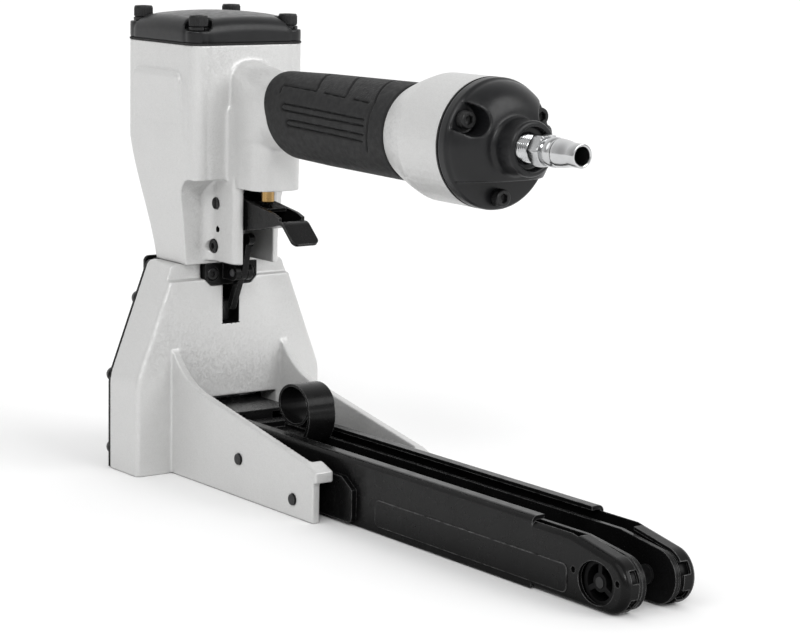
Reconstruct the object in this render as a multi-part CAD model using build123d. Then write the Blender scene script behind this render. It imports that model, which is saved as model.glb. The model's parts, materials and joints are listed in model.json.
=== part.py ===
"""Pneumatic carton stapler: one STEP file per piece.

Working frame, in mm: X runs to the rear with 0 on the driver axis, Y runs across with 0 on the
plane of symmetry, and Z runs up from the sole. Every piece is moved along X on export, so that
the origin lies under the middle of the whole tool.
"""

import math
import os

from build123d import *

os.makedirs("parts", exist_ok=True)

# Fits
RUN_FIT = 0.05  # radial play of a shaft in its hole
PRESS_FIT = 0.01  # radial play of a pressed pin
FACE_GAP = 0.4  # play between faces that pass each other
SHEET_GAP = 0.3  # play between sheets and plates
HEAD_ROOM = 0.1  # radial room round a sunk screw head

# Socket screws: thread to head diameter, head height and key size
SOCKET_HEAD = {4: (7.0, 4.0, 3.0), 5: (8.5, 5.0, 4.0), 6: (10.0, 6.0, 5.0)}
BUTTON_HEAD_D = 8.4
BUTTON_HEAD_H = 4.6
BUTTON_KEY = 3.0

# Magazine section, which the arms and the door of the foot are set out from
MAG_OUT = 21.0
MAG_SHEET = 2.0
MAG_BOTTOM = 0.5
MAG_TOP = 33.7
CARRIER_T = 3.0

# Arms of the foot
ARM_OUT = MAG_OUT + 15.5
ARM_T = 4.3
ARM_REAR = 152.0
ARM_PLATE_REAR = ARM_REAR - 2.5
ARM_TAB_Y = MAG_OUT + CARRIER_T + 2.0
ARM_TAB_FRONT = ARM_REAR - 11.0
ARM_TAB_BOTTOM = 20.5
ARM_TOP = [(ARM_REAR - 9.0, 29.3), (50.0, 47.0)]
ARM_REAR_TOP = 26.0
GUSSET_TOP = 66.5
GUSSET_MID = (28.5, 55.5)
ARM_PIN_D = 5.5
ARM_PIN_PROUD = 0.8
ARM_PINS = [(82.5, 20.0), (ARM_REAR - 20.0, 9.0)]

# Foot casting
FOOT_HALF = 58.0
KINK_Z = 50.0
KINK_R = 25.0
SHOULDER_HALF = 34.5
SHOULDER_R = 4.0
FOOT_TOP = 111.0
FOOT_FRONT = -10.5
FOOT_REAR = 17.5
FOOT_RIM_R = 2.5
FOOT_STEP = 4.0
FOOT_WALL = 7.0
STEP_Z = FOOT_TOP - 8.5
CAVITY_REAR = 2.0
CAVITY_KNEE = KINK_Z - 2.0
CAVITY_TOP = FOOT_TOP - 13.0
CAVITY_TOP_HALF = SHOULDER_HALF - 3.0
DOOR_HALF = ARM_OUT - ARM_T - 2.7
DOOR_TOP = MAG_TOP + 4.8
SOLE_T = 3.0
HOUSING_SCREW = (-4.0, 17.0)
HOUSING_SCREW_L = 28.0

# Front plate and guard
PLATE_T = 2.5
PLATE_INSET = 0.5
PLATE_FRONT = FOOT_FRONT - PLATE_T
PLATE_BOSS_R = 4.0
PLATE_SCREW_EDGE = 4.6
PLATE_SCREW_LOW = 10.5
PLATE_SCREW_DROP = 21.0
PLATE_SCREW_L = 10.0
SLOPE = (FOOT_HALF - SHOULDER_HALF) / (FOOT_TOP - KINK_Z)
PLATE_SCREWS = [
    (FOOT_HALF - PLATE_SCREW_EDGE, PLATE_SCREW_LOW),
    (FOOT_HALF - PLATE_SCREW_EDGE, KINK_Z),
    (SHOULDER_HALF + SLOPE * PLATE_SCREW_DROP - PLATE_SCREW_EDGE, FOOT_TOP - PLATE_SCREW_DROP),
]
UPPER_SCREW = (24.0, FOOT_TOP - 8.0)
UPPER_SCREW_L = 16.0
GUARD_HALF = 31.0
GUARD_LOW = FOOT_TOP - 17.0
GUARD_HIGH = FOOT_TOP + 0.5
GUARD_DEPTH = 8.7
GUARD_SHEET = 1.8
GUARD_BEND_R = 3.0
KEY_HOLE_D = SOCKET_HEAD[6][0] + 1.0

# Drive: stroke, clinchers and crosshead
STROKE = 31.0
STROKE_ROOM = 2.0
PIVOT_Y = 9.0
PIVOT_Z = 24.5
PIVOT_D = 8.0
CRANK = 25.0
FOLLOWER_D = 5.0
FOLLOWER_SLOT = 6.4
SWING = 2 * math.asin(STROKE / 2 / CRANK)
CLINCH_BOSS_R = 7.5
CLINCH_EYE_R = 4.8
HORN_R = 29.0
HORN_T = 4.5
HORN_TIP_R = 1.8
HORN_END_DEG = 102.0
LUG_DEG = (4.0, 20.0)
YOKE_FRONT = FOOT_FRONT + SHEET_GAP
YOKE_T = 4.0
CLINCH_FRONT = YOKE_FRONT + YOKE_T + FACE_GAP
CLINCH_T = 4.0
BLADE_T = 2.4
BLADE_HALF = MAG_OUT - 3.75
BLADE_BOTTOM = STROKE
BLADE_NECK_HALF = 7.5
BLADE_SHOULDER = 6.0
YOKE_LOW = PIVOT_Z + PIVOT_D / 2 + STROKE + STROKE_ROOM
YOKE_HIGH = YOKE_LOW + 12.5
YOKE_HALF = 39.5
YOKE_LEG_IN = 22.0
YOKE_LEG_WALL = 2.0
YOKE_CHAMFER = 6.5
HUB_Z = (YOKE_LOW + 4.5, YOKE_LOW + 26.5)
HUB_HALF = 9.0
HUB_REAR = 6.5
HUB_SLOT_Z = HUB_Z[0] + 10.0
BLADE_PIN_D = 4.0
ROD_D = 10.0
ROD_CHAMFER = 0.6

# Housing casting
BLOCK_HALF = 35.0
BLOCK_R = 12.5
LOBE_R = 7.0
LOBE_INSET = 0.4
BLOCK_ROOF = FOOT_TOP + 46.0
HANDLE_Z = BLOCK_ROOF + 37.0
BLOCK_TOP = HANDLE_Z + 33.0
NECK_FRONT = -16.0
NECK_REAR = 18.0
NECK_HALF = 28.6
NECK_R = 6.0
TAPER = [(36.0, 10.0, 3.4), (66.0, 18.0, 6.1)]  # rise over the foot, lean forward, growth aside
TAPER_TOP = BLOCK_TOP - 29.0
SCOOP_R = 10.0
RIB_R = 6.0
NECK_BORE_D = 26.0
BUSH_D = 18.0
FLOOR_Z = (BLOCK_ROOF - 11.0, BLOCK_ROOF + 1.0)
CAP_BOLT = BLOCK_HALF - LOBE_R - LOBE_INSET
CAP_BOLT_DEPTH = 22.0
CHEEK_OUT = 14.0
CHEEK_IN = 9.1
CHEEK_REAR = 43.5
CHEEK_EDGE_R = 4.0
CHEEK_BOTTOM = FOOT_TOP + 2.0
CHEEK_SLOT_FRONT = 17.5
CHEEK_RECESS = 3.0
BOSS_REAR = 66.0
BOSS_FRONT = 36.0
BOSS_BOTTOM = BLOCK_ROOF - 3.5
BOSS_R = 9.0
ROOT_SECTIONS = [(30.0, 20.0, 58.0, 8.0, 4.0), (50.0, 31.5, 48.0, 14.0, 2.0)]
CORE_Y = 34.0
CORE_Z = 38.0
CORE_R = 16.5
CORE_FRONT = 68.0
HANDLE_BORE_D = 24.0
HANDLE_BORE_FRONT = 52.0
GRIP_FRONT = CORE_FRONT + 1.0
GRIP_L = 116.0
GRIP_REAR = GRIP_FRONT + GRIP_L
GRIP_SLANT = 0.36  # run back for each mm down
GRIP_MIDDLE = GRIP_FRONT + 9.0
GRIP_WALLS = [(0.0, 3.0, 2.75), (36.0, 3.25, 3.75), (76.0, 4.25, 4.25), (GRIP_L, 6.25, 4.75)]
GROOVE_W = 0.9
GROOVE_DEPTH = 0.8
GRIP_LINES_REAR = 110.0
GRIP_LINES = [  # moulded lines on one side, as distance along the grip and height from its middle
    [(13.3, 12.8), (12.1, 15.0), (12.8, 16.4), (43.4, 15.7), (43.1, 16.8), (40.4, 19.8), (36.1, 22.5)],
    [(51.1, 15.4), (69.5, 14.6), (70.0, 15.9), (67.4, 20.0), (61.7, 22.9)],
    [(77.7, 14.4), (91.7, 13.8)],
    [(94.3, -9.1), (95.2, -2.7), (96.1, 6.5), (96.0, 14.1), (93.0, 19.7), (89.3, 23.1)],
    [(92.1, 5.7), (20.0, 7.8), (18.1, 6.0), (20.4, 4.6), (92.0, 2.8)],
    [(92.0, -1.7), (24.9, 0.0), (23.3, -1.5), (25.4, -3.1), (90.9, -5.0)],
]
BELL_NECK_R = 23.5
BELL_R = 30.6
BELL_SHOULDER = (GRIP_REAR + 21.0, BELL_R - 0.2)
BELL_FLARE = (GRIP_REAR + 9.0, BELL_NECK_R + 3.4)
BELL_REAR = GRIP_REAR + 50.5
BELL_CAVITY_R = 18.5
BELL_CAVITY_FRONT = GRIP_REAR + 15.0
PANEL_PROUD = 2.0
PANEL_EDGE = 3.0
PANEL_X = (-24.0, 23.0)
PANEL_Z = (BLOCK_TOP - 40.0, BLOCK_TOP - 14.0)
PANEL_R = 6.0

# Cylinder
SLEEVE_ID = 50.0
SLEEVE_D = SLEEVE_ID + 4.0
SLEEVE_TOP = BLOCK_TOP - 1.0
PISTON_D = SLEEVE_ID - 0.2
PISTON_Z = (BLOCK_TOP - 22.0, BLOCK_TOP - 6.0)
PISTON_EDGE = 0.8
PISTON_RIM = 5.0
PISTON_DISH = 2.0
RING_T = 3.0
RING_H = 3.2
ROD_TOP = PISTON_Z[1] - 6.0
BUMPER_TOP = PISTON_Z[0] - STROKE - STROKE_ROOM
BUMPER_R = 3.0
BUMPER_BORE_D = ROD_D + 6.0

# Cap and end cap
GASKET_T = 1.0
GASKET_PROUD = 0.3
CAP_RISE = 15.2
CAP_CROWN_R = 220.0
CAP_EDGE_R = 8.0
CAP_SEAT_FRONT = 8.6
CAP_SEAT_REAR = 6.2
CAP_THREAD = 6
CAP_HOLLOW = 5.0
WASHER_D = 10.4
WASHER_T = 2.0
END_FLANGE = 6.5
END_EDGE = 1.0
END_BOLT_R = BELL_R - 6.1
END_BOLT_DEG = (30.0, 150.0, 270.0)
END_BOLT_DEPTH = 16.0
END_DOME = [(2.0, BELL_R - 1.4), (9.0, BELL_R - 6.5)]
END_NECK = [(12.5, 1.0), (14.5, 0.0)]
END_BOSS_R = 13.0
END_BOSS_REAR = BELL_REAR + 33.0
END_BOSS_WALL = 3.0
END_BOSS_DEPTH = 4.0
END_CAVITY_R = BELL_CAVITY_R - 4.0
END_CAVITY_DEPTH = 9.0
END_POCKET_W = 14.0
END_POCKET_L = 24.0
END_FLAT = 16.0

# Air plug: stations behind the hexagon, as distance and radius
PLUG_D = 13.2
PLUG_BORE_R = 4.2
PLUG_HEX = 14.0
PLUG_HEX_GAP = 3.5
PLUG_HEX_L = 7.5
PLUG_THREAD_L = 14.0
PLUG_REAR = END_BOSS_REAR + 33.9
PLUG_STEPS = [
    (0.0, 5.8), (2.0, 5.8), (2.6, 6.9), (5.4, 6.9), (6.0, 6.2), (7.2, 6.2), (7.8, 6.7), (11.5, 6.4),
    (14.5, 5.9),
]
PLUG_TIP = [(5.4, 5.5), (0.2, 5.5), (0.0, 5.3)]

# Trigger, drawn from its pivot, and valve
TRIGGER_PIVOT = (24.0, BOSS_BOTTOM - 9.9)
TRIGGER_PIN_D = 6.0
TRIGGER_PIN_PROUD = 0.6
TRIGGER_PIN_SLOT = 1.2
TRIGGER_HALF = CHEEK_IN - 1.1
TRIGGER_SHEET = 1.8
TRIGGER_NOSE = [(-5.4, -3.1), (-5.4, 2.4), (-2.5, 5.6)]
TRIGGER_TOP = [(7.0, 5.4), (16.0, 3.6), (45.0, -0.8), (50.4, -2.6), (50.4, -5.5)]
TRIGGER_FLOOR = [(6.0, -11.4), (18.0, -11.8), (33.0, -9.5), (52.8, -4.9)]
TRIGGER_TAB = (64.2, -15.2)
TRIGGER_BEND_R = 5.0
TRIGGER_TAB_R = 3.0
TRIGGER_PAD = [(20.0, 2.0), (36.0, -0.4)]
STEM_X = 52.0
STEM_D = 7.1
STEM_EDGE = 0.6
STEM_BOTTOM = BOSS_BOTTOM - 7.0
STEM_HEAD_T = 2.5
VALVE_D = 12.0
VALVE_SEAT = BOSS_BOTTOM + 11.5
VALVE_TOP = VALVE_SEAT + 13.5
VALVE_LID = 1.0
VALVE_CHAMBER_D = 9.6
VALVE_SPRING_GAP = 0.2
CHEEK_SCREW = (22.2, CHEEK_BOTTOM + 7.8)
CHEEK_HOLE = (25.6, CHEEK_BOTTOM + 17.0)
CHEEK_HOLE_D = 3.0

# Safety lever
T_FLOOR = 9.0
T_CORNER = 4.0
T_BAR_HALF = 16.5
T_BAR_BOTTOM = FOOT_TOP - 12.3
T_SLOT_HALF = 4.9
T_SLOT_BOTTOM = FOOT_TOP - 33.0
LEVER_PIVOT = (27.0, FOOT_TOP - 4.5)
LEVER_PIN_D = 4.0
LEVER_HALF = 1.8
LEVER_EYE_R = 4.0
LEVER_TOP = (LEVER_PIVOT[0] + 6.0, LEVER_PIVOT[1] + 19.0)
LEVER_TOP_R = 2.4
LEVER_KNOB = (LEVER_TOP[0] + 2.0, LEVER_TOP[1] - 0.5)
LEVER_KNOB_R = 3.0
LEVER_FOOT = (LEVER_PIVOT[0] - 8.5, LEVER_PIVOT[1] - 19.5)
LEVER_FOOT_R = 1.6
LEVER_ROOT_R = 2.4
BRACKET_SCREW = (11.5, FOOT_TOP - 6.0)
BRACKET_REAR = FOOT_REAR
BRACKET_SEAT = BRACKET_REAR - 3.8
BRACKET_EAR_T = 3.0
LEVER_PIN_PROUD = 0.5

# Magazine
MAG_FRONT = 1.7
NOSE_R = 13.0
NOSE_X = 351.0
FLANGE_IN = MAG_OUT - 7.0
FLANGE_REAR = NOSE_X - 51.0
FLANGE_R = 3.0
TAIL_TOP = (NOSE_X - 25.0, MAG_TOP - 2.2)
TAIL_LIP = 8.0
TAIL_LIP_FRONT = TAIL_TOP[0] + 4.0
TAIL_BEND_R = 3.5
TAIL_SHEET = 1.6
TAIL_NOTCH_DEG = (-35.0, 25.0)
TAIL_NOTCH = (8.0, 6.0, 4.0)
INNER_OUT = MAG_OUT - 10.5
INNER_TOP = MAG_TOP - 4.2
INNER_INSET = 0.6
DRUM_X = NOSE_X - 6.5
DRUM_Z = MAG_BOTTOM + NOSE_R - 0.5
DRUM_R = NOSE_R - 2.5
DRUM_RIM = 2.2
DRUM_HUB_WALL = 1.8
DRUM_SPOKE = 2.4
DRUM_WINDOW = (24.0, 19.5)
TAIL_HOLE_D = 3.0
TAIL_HOLES = [(DRUM_X - 15.5, DRUM_Z + 2.7), (DRUM_X + 14.0, DRUM_Z + 2.7)]
AXLE_D = 5.0
AXLE_HEAD_D = 9.0
AXLE_HEAD_T = 1.2
BAND_T = 0.4
BAND_HALF = 3.1
EMBOSS_X = (ARM_REAR + 29.0, NOSE_X - 26.0)
EMBOSS_Z = (4.0, 17.0)
EMBOSS_R = 3.0
EMBOSS_T = 0.5
BRIDGE_X = (HUB_REAR + 1.0, 46.0)
BRIDGE_T = 1.8
BRIDGE_INSET = 0.5
CARRIER_X = (62.0, ARM_REAR + 13.0)
CARRIER_Z = (2.0, 24.0)
CARRIER_CORNER = (5.5, 9.0)
CARRIER_R = 3.0
SPACER_X = (150.0, 250.0)
SPACER_Z = 8.0
SPACER_D = 8.0
SPACER_END_D = 4.0

# Pusher
PUSHER_X = (50.0, 98.0)
PUSHER_HALF = INNER_OUT - MAG_SHEET - FACE_GAP
PUSHER_Z = (INNER_TOP - 3.5, INNER_TOP - 1.5)
LOOP_X = PUSHER_X[1] - 8.0
LOOP_Z = PUSHER_Z[1] + 18.4
LOOP_A = 13.8
LOOP_B = 10.8
LOOP_T = 1.4
LEG_REAR = PUSHER_X[0] + 10.0
LEG_Y = (INNER_OUT + 1.7, MAG_OUT - MAG_SHEET - 1.0)

TOOL_FRONT = -BLOCK_HALF - GASKET_PROUD
TOOL_REAR = NOSE_X + NOSE_R
TO_FRAME = Pos(-(TOOL_FRONT + TOOL_REAR) / 2, 0, 0)

LOOK_DOWN = Rot(180, 0, 0)
LOOK_FRONT = Rot(0, -90, 0)
LOOK_REAR = Rot(0, 90, 0)
LOOK_NEAR = Rot(90, 0, 0)


def across(sketch, x0, x1):
    """Extrude a sketch drawn in (Y, Z) from x0 to x1."""
    return extrude(Plane.YZ.offset(x0) * sketch, x1 - x0)


def sideways(sketch, y0, y1):
    """Extrude a sketch drawn in (X, Z) from y0 to y1."""
    return extrude(Plane.XZ.offset(-y1) * sketch, y1 - y0)


def upward(sketch, z0, z1):
    """Extrude a sketch drawn in (X, Y) from z0 to z1."""
    return extrude(Plane.XY.offset(z0) * sketch, z1 - z0)


def shape(*points):
    return make_face(Polyline(*points, close=True))


def block(x, y, z):
    """Box between two limits on each axis."""
    size = [limits[1] - limits[0] for limits in (x, y, z)]
    return Pos(x[0], y[0], z[0]) * Box(*size, align=Align.MIN)


def rod_x(diameter, x0, x1, y, z):
    return across(Pos(y, z) * Circle(diameter / 2), x0, x1)


def rod_y(diameter, y0, y1, x, z):
    return sideways(Pos(x, z) * Circle(diameter / 2), y0, y1)


def rod_z(diameter, z0, z1, x, y):
    return upward(Pos(x, y) * Circle(diameter / 2), z0, z1)


def both_sides(part):
    return part + mirror(part, about=Plane.XZ)


def socket_screw(thread, length):
    """Socket screw with its head above the origin and its shank below."""
    head_d, head_h, key = SOCKET_HEAD[thread]
    head = Cylinder(head_d / 2, head_h, align=(Align.CENTER, Align.CENTER, Align.MIN))
    head = chamfer(head.edges().sort_by(Axis.Z)[-1], head_h / 12)
    socket = upward(RegularPolygon(key / 2, 6, major_radius=False), head_h / 2, head_h)
    return head - socket + rod_z(thread, -length, 0, 0, 0)


def button_screw(thread, length):
    """Round-headed screw with its head above the origin."""
    rise = BUTTON_HEAD_H
    reach = BUTTON_HEAD_D / 2
    flat = reach * 0.4
    crown = make_face(
        Polyline((0, rise), (0, 0), (reach, 0), (reach, rise / 5))
        + ThreePointArc((reach, rise / 5), (reach * 0.72, rise * 0.8), (flat, rise))
        + Line((flat, rise), (0, rise))
    )
    head = revolve(Plane.XZ * crown, Axis.Z)
    socket = upward(RegularPolygon(BUTTON_KEY / 2, 6, major_radius=False), rise / 2, rise)
    return head - socket + rod_z(thread, -length, 0, 0, 0)


def tapped(thread):
    return thread + 2 * RUN_FIT


def foot_outline():
    slope = (SHOULDER_HALF, FOOT_TOP)
    outline = shape(
        (-FOOT_HALF, 0), (FOOT_HALF, 0), (FOOT_HALF, KINK_Z), slope,
        (-slope[0], slope[1]), (-FOOT_HALF, KINK_Z),
    )
    outline = fillet(outline.vertices().filter_by_position(Axis.Y, KINK_Z, KINK_Z), KINK_R)
    return fillet(outline.vertices().filter_by_position(Axis.Y, FOOT_TOP, FOOT_TOP), SHOULDER_R)


def arm():
    """Arm on the +Y side: thin plate with a swept gusset and a turned-in tab."""
    front = FOOT_REAR - FOOT_STEP
    plate = make_face(
        Polyline(
            (FOOT_REAR, GUSSET_TOP), (front, GUSSET_TOP), (front, 0), (ARM_PLATE_REAR, 0),
            (ARM_PLATE_REAR, ARM_TAB_BOTTOM), (ARM_REAR, ARM_TAB_BOTTOM), (ARM_REAR, ARM_REAR_TOP),
            *ARM_TOP,
        )
        + ThreePointArc(ARM_TOP[-1], GUSSET_MID, (FOOT_REAR, GUSSET_TOP))
    )
    tab = shape(
        (ARM_TAB_FRONT, ARM_TAB_BOTTOM), (ARM_REAR, ARM_TAB_BOTTOM),
        (ARM_REAR, ARM_REAR_TOP), ARM_TOP[0], (ARM_TAB_FRONT, ARM_TOP[0][1]),
    )
    part = sideways(plate, ARM_OUT - ARM_T, ARM_OUT) + sideways(tab, ARM_TAB_Y, ARM_OUT)
    for x, z in ARM_PINS:
        part -= rod_y(ARM_PIN_D + 2 * PRESS_FIT, ARM_TAB_Y, ARM_OUT + 1, x, z)
    return part


def base_casting():
    casting = across(foot_outline(), FOOT_FRONT, FOOT_REAR)
    rim = casting.faces().sort_by(Axis.X)[-1].edges().filter_by(lambda edge: edge.center().Z > 1)
    casting = fillet(rim, FOOT_RIM_R)
    wide = FOOT_HALF + 1
    casting -= block(
        (FOOT_REAR - FOOT_STEP, FOOT_REAR + 1), (-wide, wide), (STEP_Z, FOOT_TOP + 1)
    )
    inner = FOOT_HALF - FOOT_WALL
    hollow = shape(
        (-inner, -1), (inner, -1), (inner, CAVITY_KNEE), (CAVITY_TOP_HALF, CAVITY_TOP),
        (-CAVITY_TOP_HALF, CAVITY_TOP), (-inner, CAVITY_KNEE),
    )
    casting -= across(hollow, FOOT_FRONT - 1, CAVITY_REAR)
    side = HUB_HALF + 1
    casting -= block(
        (FOOT_FRONT - 1, HUB_REAR + FACE_GAP), (-side, side), (HUB_Z[0] - STROKE - 1, CAVITY_TOP)
    )
    casting -= block((0, FOOT_REAR + 1), (-DOOR_HALF, DOOR_HALF), (-1, DOOR_TOP))
    tee = shape(
        (-T_BAR_HALF, T_BAR_BOTTOM + T_CORNER), (-T_BAR_HALF + T_CORNER, T_BAR_BOTTOM),
        (-T_SLOT_HALF, T_BAR_BOTTOM), (-T_SLOT_HALF, T_SLOT_BOTTOM),
        (T_SLOT_HALF, T_SLOT_BOTTOM), (T_SLOT_HALF, T_BAR_BOTTOM),
        (T_BAR_HALF - T_CORNER, T_BAR_BOTTOM), (T_BAR_HALF, T_BAR_BOTTOM + T_CORNER),
        (T_BAR_HALF, FOOT_TOP + 1), (-T_BAR_HALF, FOOT_TOP + 1),
    )
    casting -= across(tee, T_FLOOR, FOOT_REAR + 1)
    casting -= block(
        (CAVITY_REAR, T_FLOOR + 1), (-T_SLOT_HALF, T_SLOT_HALF), (T_SLOT_BOTTOM, T_BAR_BOTTOM)
    )
    casting += both_sides(arm())
    for y, z in PLATE_SCREWS:
        casting += both_sides(rod_x(2 * PLATE_BOSS_R, FOOT_FRONT, CAVITY_REAR, y, z))
    for y, z in PLATE_SCREWS:
        hole_d = tapped(5)
        casting -= both_sides(rod_x(hole_d, FOOT_FRONT, FOOT_FRONT + PLATE_SCREW_L, y, z))
    casting -= both_sides(rod_x(tapped(6), FOOT_FRONT, FOOT_FRONT + UPPER_SCREW_L, *UPPER_SCREW))
    casting -= both_sides(rod_x(tapped(4), 0, T_FLOOR + 1, *BRACKET_SCREW))
    casting -= both_sides(rod_z(tapped(6), CAVITY_TOP - 1, FOOT_TOP + 1, *HOUSING_SCREW))
    return casting - rod_z(ROD_D + 2, CAVITY_TOP - 1, FOOT_TOP + 1, 0, 0)


def front_plate():
    plate = across(offset(foot_outline(), -PLATE_INSET), PLATE_FRONT, FOOT_FRONT)
    for y, z in PLATE_SCREWS:
        plate -= both_sides(rod_x(tapped(5), PLATE_FRONT, FOOT_FRONT, y, z))
    plate -= both_sides(rod_x(tapped(6), PLATE_FRONT, FOOT_FRONT, *UPPER_SCREW))
    return plate - both_sides(
        rod_x(PIVOT_D + 2 * PRESS_FIT, PLATE_FRONT, FOOT_FRONT, PIVOT_Y, PIVOT_Z)
    )


def front_plate_screws():
    screw = LOOK_FRONT * button_screw(5, PLATE_T + PLATE_SCREW_L - 1)
    return [
        Pos(PLATE_FRONT, side * y, z) * screw for y, z in PLATE_SCREWS for side in (-1, 1)
    ]


def front_guard():
    """Folded channel on the front plate, open at its top."""
    back_top = FOOT_TOP - SHEET_GAP
    front = PLATE_FRONT - GUARD_DEPTH
    back = PLATE_FRONT - GUARD_SHEET
    floor = GUARD_LOW + GUARD_SHEET
    wall = front + GUARD_SHEET
    outline = shape(
        (PLATE_FRONT, GUARD_LOW), (PLATE_FRONT, back_top), (back, back_top), (back, floor),
        (wall, floor), (wall, GUARD_HIGH), (front, GUARD_HIGH), (front, GUARD_LOW),
    )
    bends = outline.vertices()
    outline = fillet(bends.filter_by_position(Axis.Y, GUARD_LOW, GUARD_LOW), GUARD_BEND_R)
    inner_bends = outline.vertices().filter_by_position(Axis.Y, floor, floor)
    outline = fillet(inner_bends, GUARD_BEND_R - GUARD_SHEET)
    part = sideways(outline, -GUARD_HALF, GUARD_HALF)
    corners = part.edges().filter_by(Axis.X).filter_by(lambda edge: edge.center().Z > back_top - 1)
    part = fillet(corners, GUARD_BEND_R)
    part -= both_sides(rod_x(tapped(6), back, PLATE_FRONT, *UPPER_SCREW))
    return part - both_sides(rod_x(KEY_HOLE_D, front, wall, *UPPER_SCREW))


def upper_plate_screws():
    screw = LOOK_FRONT * socket_screw(6, GUARD_SHEET + PLATE_T + UPPER_SCREW_L - 1)
    seat = PLATE_FRONT - GUARD_SHEET
    return [Pos(seat, side * UPPER_SCREW[0], UPPER_SCREW[1]) * screw for side in (-1, 1)]


def housing_screws():
    screw = LOOK_DOWN * socket_screw(6, HOUSING_SCREW_L)
    return [Pos(HOUSING_SCREW[0], side * HOUSING_SCREW[1], CAVITY_TOP) * screw for side in (-1, 1)]


def sole_plate():
    inner = FOOT_HALF - FOOT_WALL
    rear = MAG_FRONT - SHEET_GAP
    plate = block((FOOT_FRONT, rear), (-inner, inner), (0, SOLE_T))
    slot = BLADE_T / 2 + FACE_GAP
    reach = HORN_R + HORN_T / 2
    horn_out = PIVOT_Y + math.sqrt(reach**2 - (PIVOT_Z - SOLE_T) ** 2) + 1
    plate -= block((-slot, rear + 1), (-BLADE_HALF - 1, BLADE_HALF + 1), (-1, SOLE_T + 1))
    return plate - both_sides(
        block((CLINCH_FRONT - FACE_GAP, rear + 1), (BLADE_HALF, horn_out), (-1, SOLE_T + 1))
    )


def follower_at(angle):
    return (PIVOT_Y + CRANK * math.cos(angle), PIVOT_Z + CRANK * math.sin(angle))


def ring_sector(radius, width, start_deg, end_deg):
    """Part of a ring about the origin, between two angles."""
    outer = radius + width / 2
    inner = radius - width / 2

    def at(r, deg):
        return (r * math.cos(math.radians(deg)), r * math.sin(math.radians(deg)))

    middle = (start_deg + end_deg) / 2
    return make_face(
        ThreePointArc(at(outer, start_deg), at(outer, middle), at(outer, end_deg))
        + Line(at(outer, end_deg), at(inner, end_deg))
        + ThreePointArc(at(inner, end_deg), at(inner, middle), at(inner, start_deg))
        + Line(at(inner, start_deg), at(outer, start_deg))
    )


def clincher():
    """Clincher on the +Y side: crank with a follower hole and a curved horn."""
    up_deg = math.degrees(SWING) / 2
    tip_deg = math.degrees(SWING) - HORN_END_DEG
    centre = (PIVOT_Y, PIVOT_Z)
    follower = follower_at(SWING / 2)
    eyes = Pos(*centre) * Circle(CLINCH_BOSS_R) + Pos(*follower) * Circle(CLINCH_EYE_R)
    crank = make_hull(eyes.edges())
    horn = Pos(*centre) * ring_sector(HORN_R, HORN_T, tip_deg, up_deg)
    tips = horn.vertices().sort_by(lambda v: math.atan2(v.Y - PIVOT_Z, v.X - PIVOT_Y))[:2]
    horn = fillet(tips, HORN_TIP_R)
    rear = CLINCH_FRONT + CLINCH_T
    part = across(crank + horn, CLINCH_FRONT, rear)
    lug = Pos(*centre) * ring_sector(HORN_R, HORN_T, tip_deg + LUG_DEG[0], tip_deg + LUG_DEG[1])
    part += across(lug, rear, BLADE_T / 2)
    part -= rod_x(PIVOT_D + 2 * RUN_FIT, CLINCH_FRONT, rear, *centre)
    return part - rod_x(FOLLOWER_D + 2 * PRESS_FIT, CLINCH_FRONT, rear, *follower)


def clincher_follower():
    rear = CLINCH_FRONT + CLINCH_T
    return rod_x(FOLLOWER_D, YOKE_FRONT + SHEET_GAP, rear, *follower_at(SWING / 2))


def clincher_pivots():
    rear = CLINCH_FRONT + CLINCH_T
    pin = rod_x(PIVOT_D, PLATE_FRONT, rear, PIVOT_Y, PIVOT_Z)
    return [pin, mirror(pin, about=Plane.XZ)]


def crosshead():
    shoulder = YOKE_HIGH - YOKE_CHAMFER
    bar = shape(
        (-YOKE_HALF, YOKE_LOW), (YOKE_HALF, YOKE_LOW), (YOKE_HALF, shoulder),
        (YOKE_HALF - YOKE_CHAMFER, YOKE_HIGH), (-YOKE_HALF + YOKE_CHAMFER, YOKE_HIGH),
        (-YOKE_HALF, shoulder),
    )
    rest = follower_at(SWING / 2)
    reach = PIVOT_Y + CRANK
    slot_y = (rest[0] - FACE_GAP, reach + FACE_GAP)
    leg_bottom = rest[1] - FOLLOWER_SLOT / 2 - YOKE_LEG_WALL
    leg = shape(
        (YOKE_LEG_IN, YOKE_LOW + 1), (YOKE_LEG_IN, leg_bottom), (YOKE_HALF, leg_bottom),
        (YOKE_HALF, YOKE_LOW + 1),
    )
    corners = leg.vertices().filter_by_position(Axis.Y, leg_bottom, leg_bottom)
    leg = fillet(corners, YOKE_LEG_WALL)
    slot = Pos((slot_y[0] + slot_y[1]) / 2, rest[1]) * SlotOverall(
        slot_y[1] - slot_y[0] + FOLLOWER_SLOT, FOLLOWER_SLOT
    )
    side = leg - slot
    part = across(bar + side + mirror(side, about=Plane.YZ), YOKE_FRONT, YOKE_FRONT + YOKE_T)
    part += block((YOKE_FRONT, HUB_REAR), (-HUB_HALF, HUB_HALF), HUB_Z)
    half = BLADE_T / 2 + PRESS_FIT
    part -= block((-half, half), (-HUB_HALF, HUB_HALF), (HUB_Z[0], HUB_SLOT_Z))
    part -= rod_x(BLADE_PIN_D + 2 * PRESS_FIT, YOKE_FRONT, HUB_REAR, 0, blade_pin_z())
    return part - rod_z(ROD_D + 2 * PRESS_FIT, HUB_SLOT_Z + 1, HUB_Z[1], 0, 0)


def blade_pin_z():
    return (HUB_Z[0] + HUB_SLOT_Z) / 2


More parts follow.
